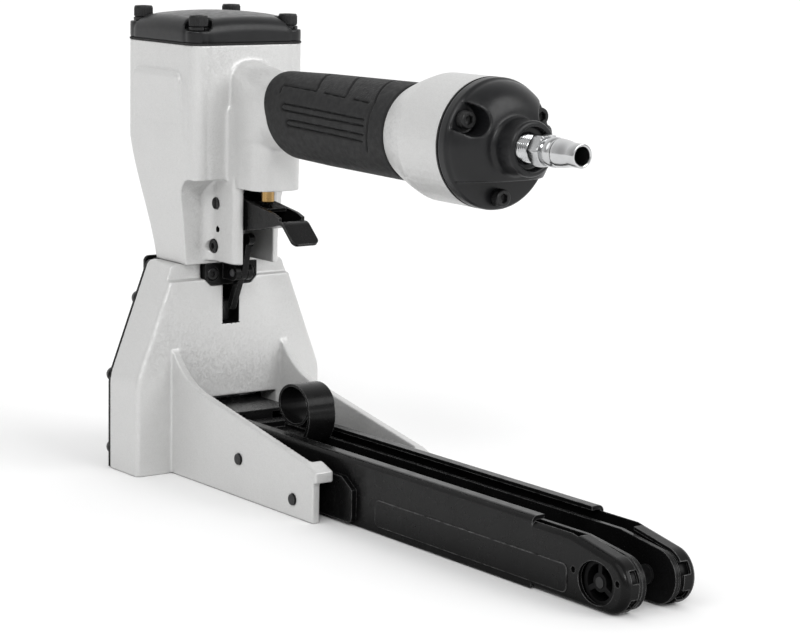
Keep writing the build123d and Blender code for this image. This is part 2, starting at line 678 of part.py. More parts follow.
def driver_blade():
    top = HUB_SLOT_Z - SHEET_GAP
    neck = HUB_Z[0] - STROKE_ROOM
    shoulder = neck - BLADE_SHOULDER
    outline = shape(
        (-BLADE_HALF, BLADE_BOTTOM), (BLADE_HALF, BLADE_BOTTOM), (BLADE_HALF, shoulder),
        (BLADE_NECK_HALF, neck), (BLADE_NECK_HALF, top), (-BLADE_NECK_HALF, top),
        (-BLADE_NECK_HALF, neck), (-BLADE_HALF, shoulder),
    )
    blade = across(outline, -BLADE_T / 2, BLADE_T / 2)
    return blade - rod_x(BLADE_PIN_D + 2 * PRESS_FIT, -BLADE_T, BLADE_T, 0, blade_pin_z())


def ring_groove():
    """Height limits of the groove in the piston."""
    middle = sum(PISTON_Z) / 2
    return middle - RING_H / 2, middle + RING_H / 2


def piston():
    low, high = PISTON_Z
    reach = PISTON_D / 2
    floor = SLEEVE_ID / 2 - RING_T - PRESS_FIT
    ring_low, ring_high = ring_groove()
    bore = ROD_D / 2 + PRESS_FIT
    dish = reach - PISTON_RIM
    profile = shape(
        (bore, low), (reach - PISTON_EDGE, low), (reach, low + PISTON_EDGE), (reach, ring_low),
        (floor, ring_low), (floor, ring_high), (reach, ring_high), (reach, high - PISTON_EDGE),
        (reach - PISTON_EDGE, high), (dish, high), (dish - PISTON_DISH, high - PISTON_DISH),
        (0, high - PISTON_DISH), (0, ROD_TOP), (bore, ROD_TOP),
    )
    return revolve(Plane.XZ * profile, Axis.Z)


def piston_ring():
    low, high = ring_groove()
    outer = SLEEVE_ID / 2 - RUN_FIT
    section = Circle(outer) - Circle(SLEEVE_ID / 2 - RING_T)
    return upward(section, low + PRESS_FIT, high - PRESS_FIT)


def piston_rod():
    rod = rod_z(ROD_D, HUB_SLOT_Z + 1, ROD_TOP, 0, 0)
    return chamfer(rod.edges().filter_by(GeomType.CIRCLE), ROD_CHAMFER)


def cylinder_sleeve():
    sleeve = rod_z(SLEEVE_D, FLOOR_Z[1], SLEEVE_TOP, 0, 0)
    return sleeve - rod_z(SLEEVE_ID, FLOOR_Z[1], SLEEVE_TOP, 0, 0)


def piston_bumper():
    outer = SLEEVE_ID - 2 * RUN_FIT
    body = rod_z(outer, FLOOR_Z[1], BUMPER_TOP, 0, 0)
    body = fillet(body.edges().sort_by(Axis.Z)[-1], BUMPER_R)
    return body - rod_z(BUMPER_BORE_D, FLOOR_Z[1], BUMPER_TOP, 0, 0)


def block_plan(grow):
    """Outline of the block and its gasket: a rounded square with a lobe at each screw."""
    size = 2 * (BLOCK_HALF + grow)
    plan = RectangleRounded(size, size, BLOCK_R + grow)
    for x, y in cap_bolts():
        plan += Pos(x, y) * Circle(LOBE_R + grow)
    return plan


def rod_bush():
    bush = rod_z(BUSH_D, FLOOR_Z[0], FLOOR_Z[1], 0, 0)
    return bush - rod_z(ROD_D + 2 * RUN_FIT, FLOOR_Z[0], FLOOR_Z[1], 0, 0)


def rounded_section(x, y_size, z_size, radius, z):
    return Plane.YZ.offset(x) * Pos(0, z) * RectangleRounded(y_size, z_size, radius)


def housing_block():
    """Cylinder block that narrows into the neck, with the scoop under its rear."""
    far = 2 * BLOCK_HALF

    def level(z, front, half):
        middle = (front + far) / 2
        return Plane.XY.offset(z) * Pos(middle, 0) * RectangleRounded(far - front, 2 * half, NECK_R)

    top = level(TAPER_TOP, -BLOCK_HALF, BLOCK_HALF)
    taper = loft([
        level(FOOT_TOP, NECK_FRONT, NECK_HALF),
        *[
            level(FOOT_TOP + rise, NECK_FRONT - lean, NECK_HALF + growth)
            for rise, lean, growth in TAPER
        ],
        top,
    ])
    envelope = taper + extrude(top, BLOCK_TOP - TAPER_TOP)
    scoop_top = BLOCK_ROOF - SCOOP_R
    middle = SCOOP_R * (1 - math.sqrt(0.5))
    side = make_face(
        Polyline(
            (NECK_REAR + SCOOP_R, BLOCK_ROOF), (far, BLOCK_ROOF), (far, BLOCK_TOP),
            (-far, BLOCK_TOP), (-far, FOOT_TOP), (NECK_REAR, FOOT_TOP), (NECK_REAR, scoop_top),
        )
        + ThreePointArc(
            (NECK_REAR, scoop_top), (NECK_REAR + middle, BLOCK_ROOF - middle),
            (NECK_REAR + SCOOP_R, BLOCK_ROOF),
        )
    )
    return envelope & sideways(side, -far, far) & upward(block_plan(0), FOOT_TOP, BLOCK_TOP)


def cheek_rib():
    """Rib behind the neck, with hollow curves where it leaves the neck."""
    root = CHEEK_OUT + RIB_R
    middle = RIB_R * (1 - math.sqrt(0.5))
    edge = (CHEEK_REAR - CHEEK_EDGE_R, CHEEK_OUT - CHEEK_EDGE_R)
    half = make_face(
        Polyline(
            (NECK_REAR + RIB_R, CHEEK_OUT), (edge[0], CHEEK_OUT),
        )
        + RadiusArc((edge[0], CHEEK_OUT), (CHEEK_REAR, edge[1]), CHEEK_EDGE_R)
        + Polyline((CHEEK_REAR, edge[1]), (CHEEK_REAR, 0), (0, 0), (0, root), (NECK_REAR, root))
        + ThreePointArc(
            (NECK_REAR, root), (NECK_REAR + middle, CHEEK_OUT + middle),
            (NECK_REAR + RIB_R, CHEEK_OUT),
        )
    )
    return upward(half + mirror(half, about=Plane.XZ), CHEEK_BOTTOM, HANDLE_Z)


def side_panel():
    """Raised panel on the +Y face of the block, which runs out towards the neck."""
    low, high = PANEL_Z
    root = BLOCK_HALF - PANEL_EDGE
    face = BLOCK_HALF + PANEL_PROUD
    wedge = shape(
        (root, low), (BLOCK_HALF, low), (face, high - PANEL_EDGE), (face - PANEL_PROUD / 2, high),
        (root, high),
    )
    middle = (sum(PANEL_X) / 2, (low - PANEL_R + high) / 2)
    window = Pos(*middle) * RectangleRounded(
        PANEL_X[1] - PANEL_X[0], high - low + PANEL_R, PANEL_R
    )
    return across(wedge, *PANEL_X) & sideways(window, 0, BLOCK_HALF + 2 * PANEL_PROUD)


def handle_core():
    return Pos(0, HANDLE_Z) * RectangleRounded(CORE_Y, CORE_Z, CORE_R)


def bell():
    profile = make_face(
        Polyline((GRIP_REAR, BELL_NECK_R), (GRIP_REAR, 0), (BELL_REAR, 0), (BELL_REAR, BELL_R))
        + Line((BELL_REAR, BELL_R), BELL_SHOULDER)
        + Spline(BELL_SHOULDER, BELL_FLARE, (GRIP_REAR, BELL_NECK_R))
    )
    return Pos(0, 0, HANDLE_Z) * revolve(Plane.XZ * profile, Axis.X)


def cylinder_housing():
    casting = housing_block() + cheek_rib() + both_sides(side_panel())
    boss_plan = Pos((BOSS_FRONT + BOSS_REAR) / 2, 0) * RectangleRounded(
        BOSS_REAR - BOSS_FRONT, 2 * CHEEK_OUT, BOSS_R
    )
    casting += upward(boss_plan, BOSS_BOTTOM, HANDLE_Z - CHEEK_EDGE_R)
    root = [
        rounded_section(x, width, height, radius, HANDLE_Z - drop)
        for x, width, height, radius, drop in ROOT_SECTIONS
    ]
    casting += loft([*root, rounded_section(CORE_FRONT, CORE_Y, CORE_Z, CORE_R, HANDLE_Z)])
    casting += across(handle_core(), CORE_FRONT, GRIP_REAR + 1)
    casting += bell()
    casting -= block(
        (CHEEK_SLOT_FRONT, BOSS_REAR), (-CHEEK_IN, CHEEK_IN), (CHEEK_BOTTOM - 1, BOSS_BOTTOM)
    )
    casting -= rod_z(SLEEVE_D + 2 * PRESS_FIT, FLOOR_Z[1], BLOCK_TOP, 0, 0)
    casting -= rod_z(BUSH_D + 2 * PRESS_FIT, FLOOR_Z[0], FLOOR_Z[1], 0, 0)
    casting -= rod_z(NECK_BORE_D, FOOT_TOP, FLOOR_Z[0], 0, 0)
    casting -= rod_x(HANDLE_BORE_D, HANDLE_BORE_FRONT, BELL_REAR, 0, HANDLE_Z)
    casting -= rod_x(2 * BELL_CAVITY_R, BELL_CAVITY_FRONT, BELL_REAR, 0, HANDLE_Z)
    casting -= rod_z(VALVE_D + 2 * PRESS_FIT, BOSS_BOTTOM, HANDLE_Z, STEM_X, 0)
    casting -= rod_y(TRIGGER_PIN_D + 2 * PRESS_FIT, -BLOCK_HALF, BLOCK_HALF, *TRIGGER_PIVOT)
    casting -= rod_y(tapped(4), -BLOCK_HALF, BLOCK_HALF, *CHEEK_SCREW)
    head_d = SOCKET_HEAD[4][0] + 2 * HEAD_ROOM
    casting -= rod_y(head_d, -BLOCK_HALF, -CHEEK_OUT + CHEEK_RECESS, *CHEEK_SCREW)
    casting -= rod_y(CHEEK_HOLE_D, -BLOCK_HALF, BLOCK_HALF, *CHEEK_HOLE)
    casting -= both_sides(
        rod_z(tapped(6), FOOT_TOP, CAVITY_TOP + HOUSING_SCREW_L + 1, *HOUSING_SCREW)
    )
    for x, y in cap_bolts():
        casting -= rod_z(tapped(CAP_THREAD), BLOCK_TOP - CAP_BOLT_DEPTH, BLOCK_TOP, x, y)
    for y, z in end_bolts():
        casting -= rod_x(tapped(5), BELL_REAR - END_BOLT_DEPTH, BELL_REAR, y, z)
    return casting


def cap_bolts():
    return [(sx * CAP_BOLT, sy * CAP_BOLT) for sx in (-1, 1) for sy in (-1, 1)]


def end_bolts():
    angles = [math.radians(deg) for deg in END_BOLT_DEG]
    return [
        (END_BOLT_R * math.cos(angle), HANDLE_Z + END_BOLT_R * math.sin(angle)) for angle in angles
    ]


def cap_gasket():
    sheet = block_plan(GASKET_PROUD) - Circle(SLEEVE_D / 2)
    for x, y in cap_bolts():
        sheet -= Pos(x, y) * Circle(tapped(CAP_THREAD) / 2)
    return upward(sheet, BLOCK_TOP, BLOCK_TOP + GASKET_T)


def cap_seat(x):
    """Height of the screw seat in the cap, which is lower at the rear."""
    return BLOCK_TOP + GASKET_T + (CAP_SEAT_FRONT if x < 0 else CAP_SEAT_REAR)


def top_cap():
    """Domed cap with a flat seat in each corner for a screw."""
    base = BLOCK_TOP + GASKET_T
    plan = RectangleRounded(2 * BLOCK_HALF, 2 * BLOCK_HALF, BLOCK_R)
    crown = Pos(0, 0, base + CAP_RISE - CAP_CROWN_R) * LOOK_NEAR * Sphere(CAP_CROWN_R)
    cap = upward(plan, base, base + CAP_RISE + 1) & crown
    cap = fillet(cap.faces().sort_by(Axis.Z)[-1].edges(), CAP_EDGE_R)
    for x, y in cap_bolts():
        seat = cap_seat(x)
        cap -= rod_z(2 * LOBE_R, seat, base + CAP_RISE + 1, x, y)
        cap += rod_z(2 * LOBE_R, base, seat, x, y)
        cap -= rod_z(tapped(CAP_THREAD), base, seat, x, y)
    return cap - rod_z(SLEEVE_ID, base, base + CAP_HOLLOW, 0, 0)


def cap_washers():
    ring = Circle(WASHER_D / 2) - Circle(tapped(CAP_THREAD) / 2)
    return [
        upward(Pos(x, y) * ring, cap_seat(x), cap_seat(x) + WASHER_T) for x, y in cap_bolts()
    ]


def cap_screws():
    screws = []
    for x, y in cap_bolts():
        under = cap_seat(x) + WASHER_T
        screw = socket_screw(CAP_THREAD, under - BLOCK_TOP + CAP_BOLT_DEPTH - 1)
        screws.append(Pos(x, y, under) * screw)
    return screws


def grip_body(inset):
    """Outside of the rubber sleeve, thicker towards the bell."""
    return loft([
        rounded_section(
            GRIP_FRONT + along, CORE_Y + 2 * (side - inset), CORE_Z + 2 * (height - inset),
            CORE_R + side - inset, HANDLE_Z,
        )
        for along, side, height in GRIP_WALLS
    ])


def grip_sleeve():
    """Rubber sleeve with moulded lines on both sides, cut on a slant at its front."""
    sleeve = grip_body(0)
    start = GRIP_REAR - GRIP_LINES_REAR
    lines = Sketch() + [
        trace(Polyline(*[(start + along, HANDLE_Z + rise) for along, rise in line]), GROOVE_W)
        for line in GRIP_LINES
    ]
    grooves = sideways(lines, -CORE_Y, 0) - grip_body(GROOVE_DEPTH)
    sleeve -= both_sides(grooves)
    before = GRIP_FRONT - CORE_Z
    run = GRIP_SLANT * CORE_Z
    slant = shape(
        (before, HANDLE_Z + CORE_Z), (GRIP_MIDDLE - run, HANDLE_Z + CORE_Z),
        (GRIP_MIDDLE + run, HANDLE_Z - CORE_Z), (before, HANDLE_Z - CORE_Z),
    )
    sleeve -= sideways(slant, -CORE_Y, CORE_Y)
    return sleeve - across(handle_core(), before, GRIP_REAR)


def end_cap_gasket():
    ring = Pos(0, HANDLE_Z) * (Circle(BELL_R) - Circle(BELL_CAVITY_R))
    for y, z in end_bolts():
        ring -= Pos(y, z) * Circle(tapped(5) / 2)
    return across(ring, BELL_REAR, BELL_REAR + GASKET_T)


def end_cap():
    front = BELL_REAR + GASKET_T
    flange = front + END_FLANGE
    dome = [(flange + x, r) for x, r in END_DOME]
    neck = [(flange + x, END_BOSS_R + r) for x, r in END_NECK]
    profile = make_face(
        Polyline(
            (front, 0), (front, BELL_R), (flange - END_EDGE, BELL_R), (flange, BELL_R - END_EDGE),
            dome[0],
        )
        + ThreePointArc(*dome, neck[0])
        + Polyline(
            *neck, (END_BOSS_REAR - END_EDGE, END_BOSS_R), (END_BOSS_REAR, END_BOSS_R - END_EDGE),
            (END_BOSS_REAR, 0), (front, 0),
        )
    )
    cap = Pos(0, 0, HANDLE_Z) * revolve(Plane.XZ * profile, Axis.X)
    cap -= rod_x(2 * END_CAVITY_R, front, front + END_CAVITY_DEPTH, 0, HANDLE_Z)
    inner = END_BOLT_R - END_POCKET_W / 2
    pocket = Pos(inner + END_POCKET_L / 2, 0) * SlotOverall(END_POCKET_L, END_POCKET_W)
    for deg in END_BOLT_DEG[:2]:
        cap -= across(Pos(0, HANDLE_Z) * Rot(0, 0, deg) * pocket, flange, END_BOSS_REAR)
    chord = HANDLE_Z - END_FLAT
    cap -= block((flange, END_BOSS_REAR), (-BELL_R, BELL_R), (chord - BELL_R, chord))
    for y, z in end_bolts():
        cap -= rod_x(tapped(5), front, flange, y, z)
    cap -= rod_x(PLUG_D + 2 * PRESS_FIT, front, END_BOSS_REAR, 0, HANDLE_Z)
    mouth_d = 2 * (END_BOSS_R - END_BOSS_WALL)
    return cap - rod_x(mouth_d, END_BOSS_REAR - END_BOSS_DEPTH, END_BOSS_REAR, 0, HANDLE_Z)


def end_cap_screws():
    flange = BELL_REAR + GASKET_T + END_FLANGE
    screw = LOOK_REAR * socket_screw(5, GASKET_T + END_FLANGE + END_BOLT_DEPTH - 1)
    return [Pos(flange, y, z) * screw for y, z in end_bolts()]


def air_plug():
    thread = PLUG_D / 2
    hex_front = END_BOSS_REAR + PLUG_HEX_GAP
    hex_rear = hex_front + PLUG_HEX_L
    front = END_BOSS_REAR - PLUG_THREAD_L
    profile = shape(
        (front, PLUG_BORE_R), (front, thread), (hex_rear, thread),
        *[(hex_rear + x, r) for x, r in PLUG_STEPS],
        *[(PLUG_REAR - x, r) for x, r in PLUG_TIP],
        (PLUG_REAR, PLUG_BORE_R),
    )
    plug = Pos(0, 0, HANDLE_Z) * revolve(Plane.XZ * profile, Axis.X)
    hexagon = RegularPolygon(PLUG_HEX / 2, 6, major_radius=False) - Circle(PLUG_BORE_R)
    return plug + across(Pos(0, HANDLE_Z) * hexagon, hex_front, hex_rear)


def trigger():
    """Folded trigger, drawn from its pivot: two walls, a floor with a finger tab and a pad."""
    sheet = TRIGGER_SHEET
    half = TRIGGER_HALF
    walls = shape(*TRIGGER_NOSE, *TRIGGER_TOP, *reversed(TRIGGER_FLOOR[:-1]))
    part = both_sides(sideways(walls, half - sheet, half))
    floor = trace(FilletPolyline(*TRIGGER_FLOOR, TRIGGER_TAB, radius=TRIGGER_BEND_R), sheet)
    floor = sideways(floor, -half, half)
    tab_end = floor.edges().filter_by(Axis.Y, reverse=True)
    tab_end = tab_end.filter_by(lambda edge: edge.center().X > TRIGGER_TAB[0] - sheet)
    floor = fillet(tab_end, TRIGGER_TAB_R)
    part += floor + sideways(trace(Line(*TRIGGER_PAD), sheet), -half, half)
    part -= rod_y(TRIGGER_PIN_D + 2 * RUN_FIT, -half, half, 0, 0)
    return Pos(TRIGGER_PIVOT[0], 0, TRIGGER_PIVOT[1]) * part


def trigger_pin():
    end = CHEEK_OUT + TRIGGER_PIN_PROUD
    pin = rod_y(TRIGGER_PIN_D, -end, end, *TRIGGER_PIVOT)
    x, z = TRIGGER_PIVOT
    half = TRIGGER_PIN_SLOT / 2
    slot = block(
        (x - half, x + half), (end - TRIGGER_PIN_SLOT, end + 1), (z - TRIGGER_PIN_D, z + TRIGGER_PIN_D)
    )
    return pin - both_sides(slot)


def cheek_screw():
    screw = LOOK_NEAR * socket_screw(4, 2 * CHEEK_OUT - CHEEK_RECESS)
    return Pos(CHEEK_SCREW[0], -CHEEK_OUT + CHEEK_RECESS, CHEEK_SCREW[1]) * screw


def valve_bushing():
    body = rod_z(VALVE_D, BOSS_BOTTOM, VALVE_TOP, STEM_X, 0)
    body -= rod_z(STEM_D + 2 * RUN_FIT, BOSS_BOTTOM, VALVE_SEAT, STEM_X, 0)
    body -= rod_z(VALVE_CHAMBER_D, VALVE_SEAT, VALVE_TOP - VALVE_LID, STEM_X, 0)
    return body - rod_z(STEM_D, VALVE_TOP - VALVE_LID, VALVE_TOP, STEM_X, 0)


def valve_stem():
    head = VALVE_SEAT + PRESS_FIT
    stem = rod_z(STEM_D, STEM_BOTTOM, head, STEM_X, 0)
    stem = chamfer(stem.edges().sort_by(Axis.Z)[0], STEM_EDGE)
    flange = VALVE_CHAMBER_D - 2 * RUN_FIT
    return stem + rod_z(flange, head, head + STEM_HEAD_T, STEM_X, 0)


def valve_spring():
    low = VALVE_SEAT + PRESS_FIT + STEM_HEAD_T
    outer = VALVE_CHAMBER_D / 2 - VALVE_SPRING_GAP
    ring = Circle(outer) - Circle(STEM_D / 2 + VALVE_SPRING_GAP)
    return upward(Pos(STEM_X, 0) * ring, low, VALVE_TOP - VALVE_LID)


def safety_bracket():
    """Bracket in the pocket of the foot, with two ears for the lever."""
    half = T_BAR_HALF - SHEET_GAP
    low = T_BAR_BOTTOM + SHEET_GAP
    high = FOOT_TOP - SHEET_GAP
    plate = shape(
        (-half, T_BAR_BOTTOM + T_CORNER), (-T_BAR_HALF + T_CORNER, low),
        (T_BAR_HALF - T_CORNER, low), (half, T_BAR_BOTTOM + T_CORNER), (half, high), (-half, high),
    )
    part = across(plate, T_FLOOR, BRACKET_REAR)
    x, z = LEVER_PIVOT
    reach = high - z
    root = Pos(BRACKET_REAR, z) * Rectangle(1, 2 * reach)
    ear = make_hull((Pos(x, z) * Circle(reach) + root).edges())
    inner = LEVER_HALF + FACE_GAP
    outer = inner + BRACKET_EAR_T
    part += both_sides(sideways(ear, inner, outer))
    part -= both_sides(rod_x(tapped(4), T_FLOOR, BRACKET_REAR, *BRACKET_SCREW))
    head_d = SOCKET_HEAD[4][0] + 2 * HEAD_ROOM
    part -= both_sides(rod_x(head_d, BRACKET_SEAT, BRACKET_REAR, *BRACKET_SCREW))
    return part - rod_y(LEVER_PIN_D + 2 * PRESS_FIT, -outer, outer, x, z)


def bracket_screws():
    screw = LOOK_REAR * socket_screw(4, BRACKET_SEAT - 1)
    return [
        Pos(BRACKET_SEAT, side * BRACKET_SCREW[0], BRACKET_SCREW[1]) * screw for side in (-1, 1)
    ]


def lever_pin():
    end = LEVER_HALF + FACE_GAP + BRACKET_EAR_T + LEVER_PIN_PROUD
    return rod_y(LEVER_PIN_D, -end, end, *LEVER_PIVOT)


def safety_lever():
    pivot = Pos(*LEVER_PIVOT) * Circle(LEVER_EYE_R)
    upper = make_hull((pivot + Pos(*LEVER_TOP) * Circle(LEVER_TOP_R)).edges())
    root = Pos(*LEVER_PIVOT) * Circle(LEVER_ROOT_R)
    lower = make_hull((root + Pos(*LEVER_FOOT) * Circle(LEVER_FOOT_R)).edges())
    knob = Pos(*LEVER_KNOB) * Circle(LEVER_KNOB_R)
    plate = sideways(upper + lower + knob, -LEVER_HALF, LEVER_HALF)
    return plate - rod_y(LEVER_PIN_D + 2 * RUN_FIT, -LEVER_HALF, LEVER_HALF, *LEVER_PIVOT)


def arm_pins():
    inner = MAG_OUT + SHEET_GAP
    pins = [rod_y(ARM_PIN_D, inner, ARM_OUT + ARM_PIN_PROUD, x, z) for x, z in ARM_PINS]
    return pins + [mirror(pin, about=Plane.XZ) for pin in pins]


def carrier():
    """Plate on the +Y side of the magazine, with bosses that meet the arm."""
    x0, x1 = CARRIER_X
    z0, z1 = CARRIER_Z
    drop, run = CARRIER_CORNER
    outline = shape(
        (x0, z0), (x1, z0), (x1, z1 - drop), (x1 - run, z1), (x0 + drop, z1), (x0, z1 - drop)
    )
    outline = fillet(outline.vertices().sort_by_distance((x1, z0))[0], CARRIER_R)
    part = sideways(outline, MAG_OUT, MAG_OUT + CARRIER_T)
    for x, z in ARM_PINS:
        part += rod_y(2 * ARM_PIN_D, MAG_OUT + CARRIER_T, ARM_OUT - ARM_T, x, z)
    for x, z in ARM_PINS:
        part -= rod_y(ARM_PIN_D + 2 * PRESS_FIT, MAG_OUT, ARM_OUT, x, z)
    return part


def magazine_tail():
    """Rounded tail of the +Y side, with a lip bent in along its slope and nose."""
    front = FLANGE_REAR - 1
    nose = Pos(NOSE_X, MAG_BOTTOM + NOSE_R)
    lip = MAG_OUT - TAIL_LIP
    inside = MAG_OUT - MAG_SHEET

    def outline(inset):
        tail = Pos(front, MAG_BOTTOM + inset) * Rectangle(
            TAIL_TOP[0] - front, TAIL_TOP[1] - MAG_BOTTOM - 2 * inset, align=Align.MIN
        )
        return make_hull((tail + nose * Circle(NOSE_R - inset)).edges())

    def bend(part, radius):
        rim = part.faces().sort_by(Axis.Y)[-1].edges()
        rim = rim.filter_by(lambda edge: edge.center().X > front + 1)
        return fillet(rim.filter_by(lambda edge: edge.center().Z > MAG_BOTTOM + 2), radius)

    part = bend(sideways(outline(0), lip, MAG_OUT), TAIL_BEND_R)
    part -= bend(sideways(outline(TAIL_SHEET), lip - 1, inside), TAIL_BEND_R - TAIL_SHEET)
    part -= block((front - 1, TAIL_LIP_FRONT), (lip - 1, inside), (MAG_BOTTOM - 1, MAG_TOP + 1))
    part -= block((front - 1, NOSE_X), (lip - 1, inside), (MAG_BOTTOM - 1, MAG_BOTTOM + NOSE_R / 2))
    length, width, depth = TAIL_NOTCH
    for deg in TAIL_NOTCH_DEG:
        notch = nose * Rot(0, 0, deg) * Pos(NOSE_R, 0) * Rectangle(length, width)
        part -= sideways(notch, lip - 1, lip + depth)
    return part


def outer_plate():
    """Magazine side on +Y: turned-in flange, rounded tail and a raised panel."""
    inside = MAG_OUT - MAG_SHEET
    channel = shape(
        (MAG_OUT, MAG_BOTTOM), (MAG_OUT, MAG_TOP), (FLANGE_IN, MAG_TOP),
        (FLANGE_IN, MAG_TOP - MAG_SHEET), (inside, MAG_TOP - MAG_SHEET), (inside, MAG_BOTTOM),
    )
    channel = fillet(channel.vertices().sort_by_distance((MAG_OUT, MAG_TOP))[0], FLANGE_R)
    part = across(channel, MAG_FRONT, FLANGE_REAR)
    part += magazine_tail()
    panel = Pos(sum(EMBOSS_X) / 2, sum(EMBOSS_Z) / 2) * RectangleRounded(
        EMBOSS_X[1] - EMBOSS_X[0], EMBOSS_Z[1] - EMBOSS_Z[0], EMBOSS_R
    )
    part += sideways(panel, MAG_OUT, MAG_OUT + EMBOSS_T)
    window = Pos(DRUM_X, DRUM_Z) * Ellipse(DRUM_WINDOW[0] / 2, DRUM_WINDOW[1] / 2)
    part -= sideways(window, inside - 1, MAG_OUT + 1)
    for x, z in TAIL_HOLES:
        part -= rod_y(TAIL_HOLE_D, inside - 1, MAG_OUT + 1, x, z)
    return part


def inner_plate():
    """Inner magazine sheet on +Y, with a rounded end inside the tail."""
    sheet = Pos(MAG_FRONT, MAG_BOTTOM) * Rectangle(
        TAIL_TOP[0] - MAG_FRONT, INNER_TOP - MAG_BOTTOM, align=Align.MIN
    )
    nose = Pos(NOSE_X, MAG_BOTTOM + NOSE_R) * Circle(NOSE_R - INNER_INSET)
    outline = make_hull((sheet + nose).edges())
    part = sideways(outline, INNER_OUT - MAG_SHEET, INNER_OUT)
    part -= rod_y(AXLE_D + 2 * PRESS_FIT, 0, INNER_OUT, DRUM_X, DRUM_Z)
    for x in SPACER_X:
        part -= rod_y(SPACER_END_D + 2 * PRESS_FIT, 0, INNER_OUT, x, SPACER_Z)
    return part


def magazine_bridge():
    half = MAG_OUT - BRIDGE_INSET
    plate = block(BRIDGE_X, (-half, half), (MAG_TOP, MAG_TOP + BRIDGE_T))
    drop = INNER_OUT - MAG_SHEET
    return plate + block(BRIDGE_X, (-drop, drop), (PUSHER_Z[0], MAG_TOP))


def magazine_spacers():
    inside = INNER_OUT - MAG_SHEET
    studs = []
    for x in SPACER_X:
        stud = rod_y(SPACER_D, -inside, inside, x, SPACER_Z)
        studs.append(stud + rod_y(SPACER_END_D, -INNER_OUT, INNER_OUT, x, SPACER_Z))
    return studs


def drum_axles():
    inside = INNER_OUT - MAG_SHEET
    stud = rod_y(AXLE_D, inside, MAG_OUT - MAG_SHEET, DRUM_X, DRUM_Z)
    stud += rod_y(AXLE_HEAD_D, inside - AXLE_HEAD_T, inside, DRUM_X, DRUM_Z)
    return [stud, mirror(stud, about=Plane.XZ)]


def drum():
    """Spring drum on the +Y side, with three spokes."""
    y0 = INNER_OUT + SHEET_GAP
    y1 = MAG_OUT - MAG_SHEET - SHEET_GAP
    wheel = Circle(DRUM_R) - Circle(DRUM_R - DRUM_RIM)
    wheel += Circle(AXLE_D / 2 + DRUM_HUB_WALL)
    for deg in (90, 210, 330):
        length = DRUM_R - DRUM_RIM / 2
        wheel += Rot(0, 0, deg) * Pos(length / 2, 0) * Rectangle(length, DRUM_SPOKE)
    wheel -= Circle(AXLE_D / 2 + RUN_FIT)
    return sideways(Pos(DRUM_X, DRUM_Z) * wheel, y0, y1)


def spring_band():
    middle = (INNER_OUT + MAG_OUT - MAG_SHEET) / 2
    top = DRUM_Z - DRUM_R - RUN_FIT
    return block((LEG_REAR, DRUM_X), (middle - BAND_HALF, middle + BAND_HALF), (top - BAND_T, top))


def pusher():
    """Follower plate with legs for the staples and a curled finger loop."""
    x0, x1 = PUSHER_X
    low, high = PUSHER_Z
    loop = Ellipse(LOOP_A, LOOP_B) - Ellipse(LOOP_A - LOOP_T, LOOP_B - LOOP_T)
    rear = LOOP_X + LOOP_A
    bend = 2 * LOOP_T
    riser = make_face(
        Polyline((x0, high), (x0, low), (x1 - bend, low))
        + ThreePointArc((x1 - bend, low), (x1 + LOOP_T * 0.8, low + bend), (rear, LOOP_Z))
        + Polyline((rear, LOOP_Z), (rear - LOOP_T, LOOP_Z))
        + ThreePointArc((rear - LOOP_T, LOOP_Z), (x1, high + bend), (x1 - bend - 1, high))
        + Polyline((x1 - bend - 1, high), (x0, high))
    )
    part = sideways(riser + Pos(LOOP_X, LOOP_Z) * loop, -PUSHER_HALF, PUSHER_HALF)
    wing_top = MAG_TOP - MAG_SHEET - FACE_GAP
    wing_low = INNER_TOP + FACE_GAP
    saddle = (x0, LEG_REAR - LOOP_T)
    part += block(saddle, (-PUSHER_HALF, PUSHER_HALF), (low, wing_top))
    part += block(saddle, (-LEG_Y[1], LEG_Y[1]), (wing_low, wing_top))
    foot = DRUM_Z - DRUM_R - RUN_FIT - 2 * BAND_T
    return part + both_sides(block((x0, LEG_REAR), LEG_Y, (foot, wing_top)))


def one(part):
    return [part]


def far_side(part):
    return [mirror(part, about=Plane.XZ)]


RIGHT_CLINCHER = clincher()
RIGHT_FOLLOWER = clincher_follower()
RIGHT_CARRIER = carrier()
RIGHT_OUTER = outer_plate()
RIGHT_INNER = inner_plate()
RIGHT_DRUM = drum()
RIGHT_BAND = spring_band()

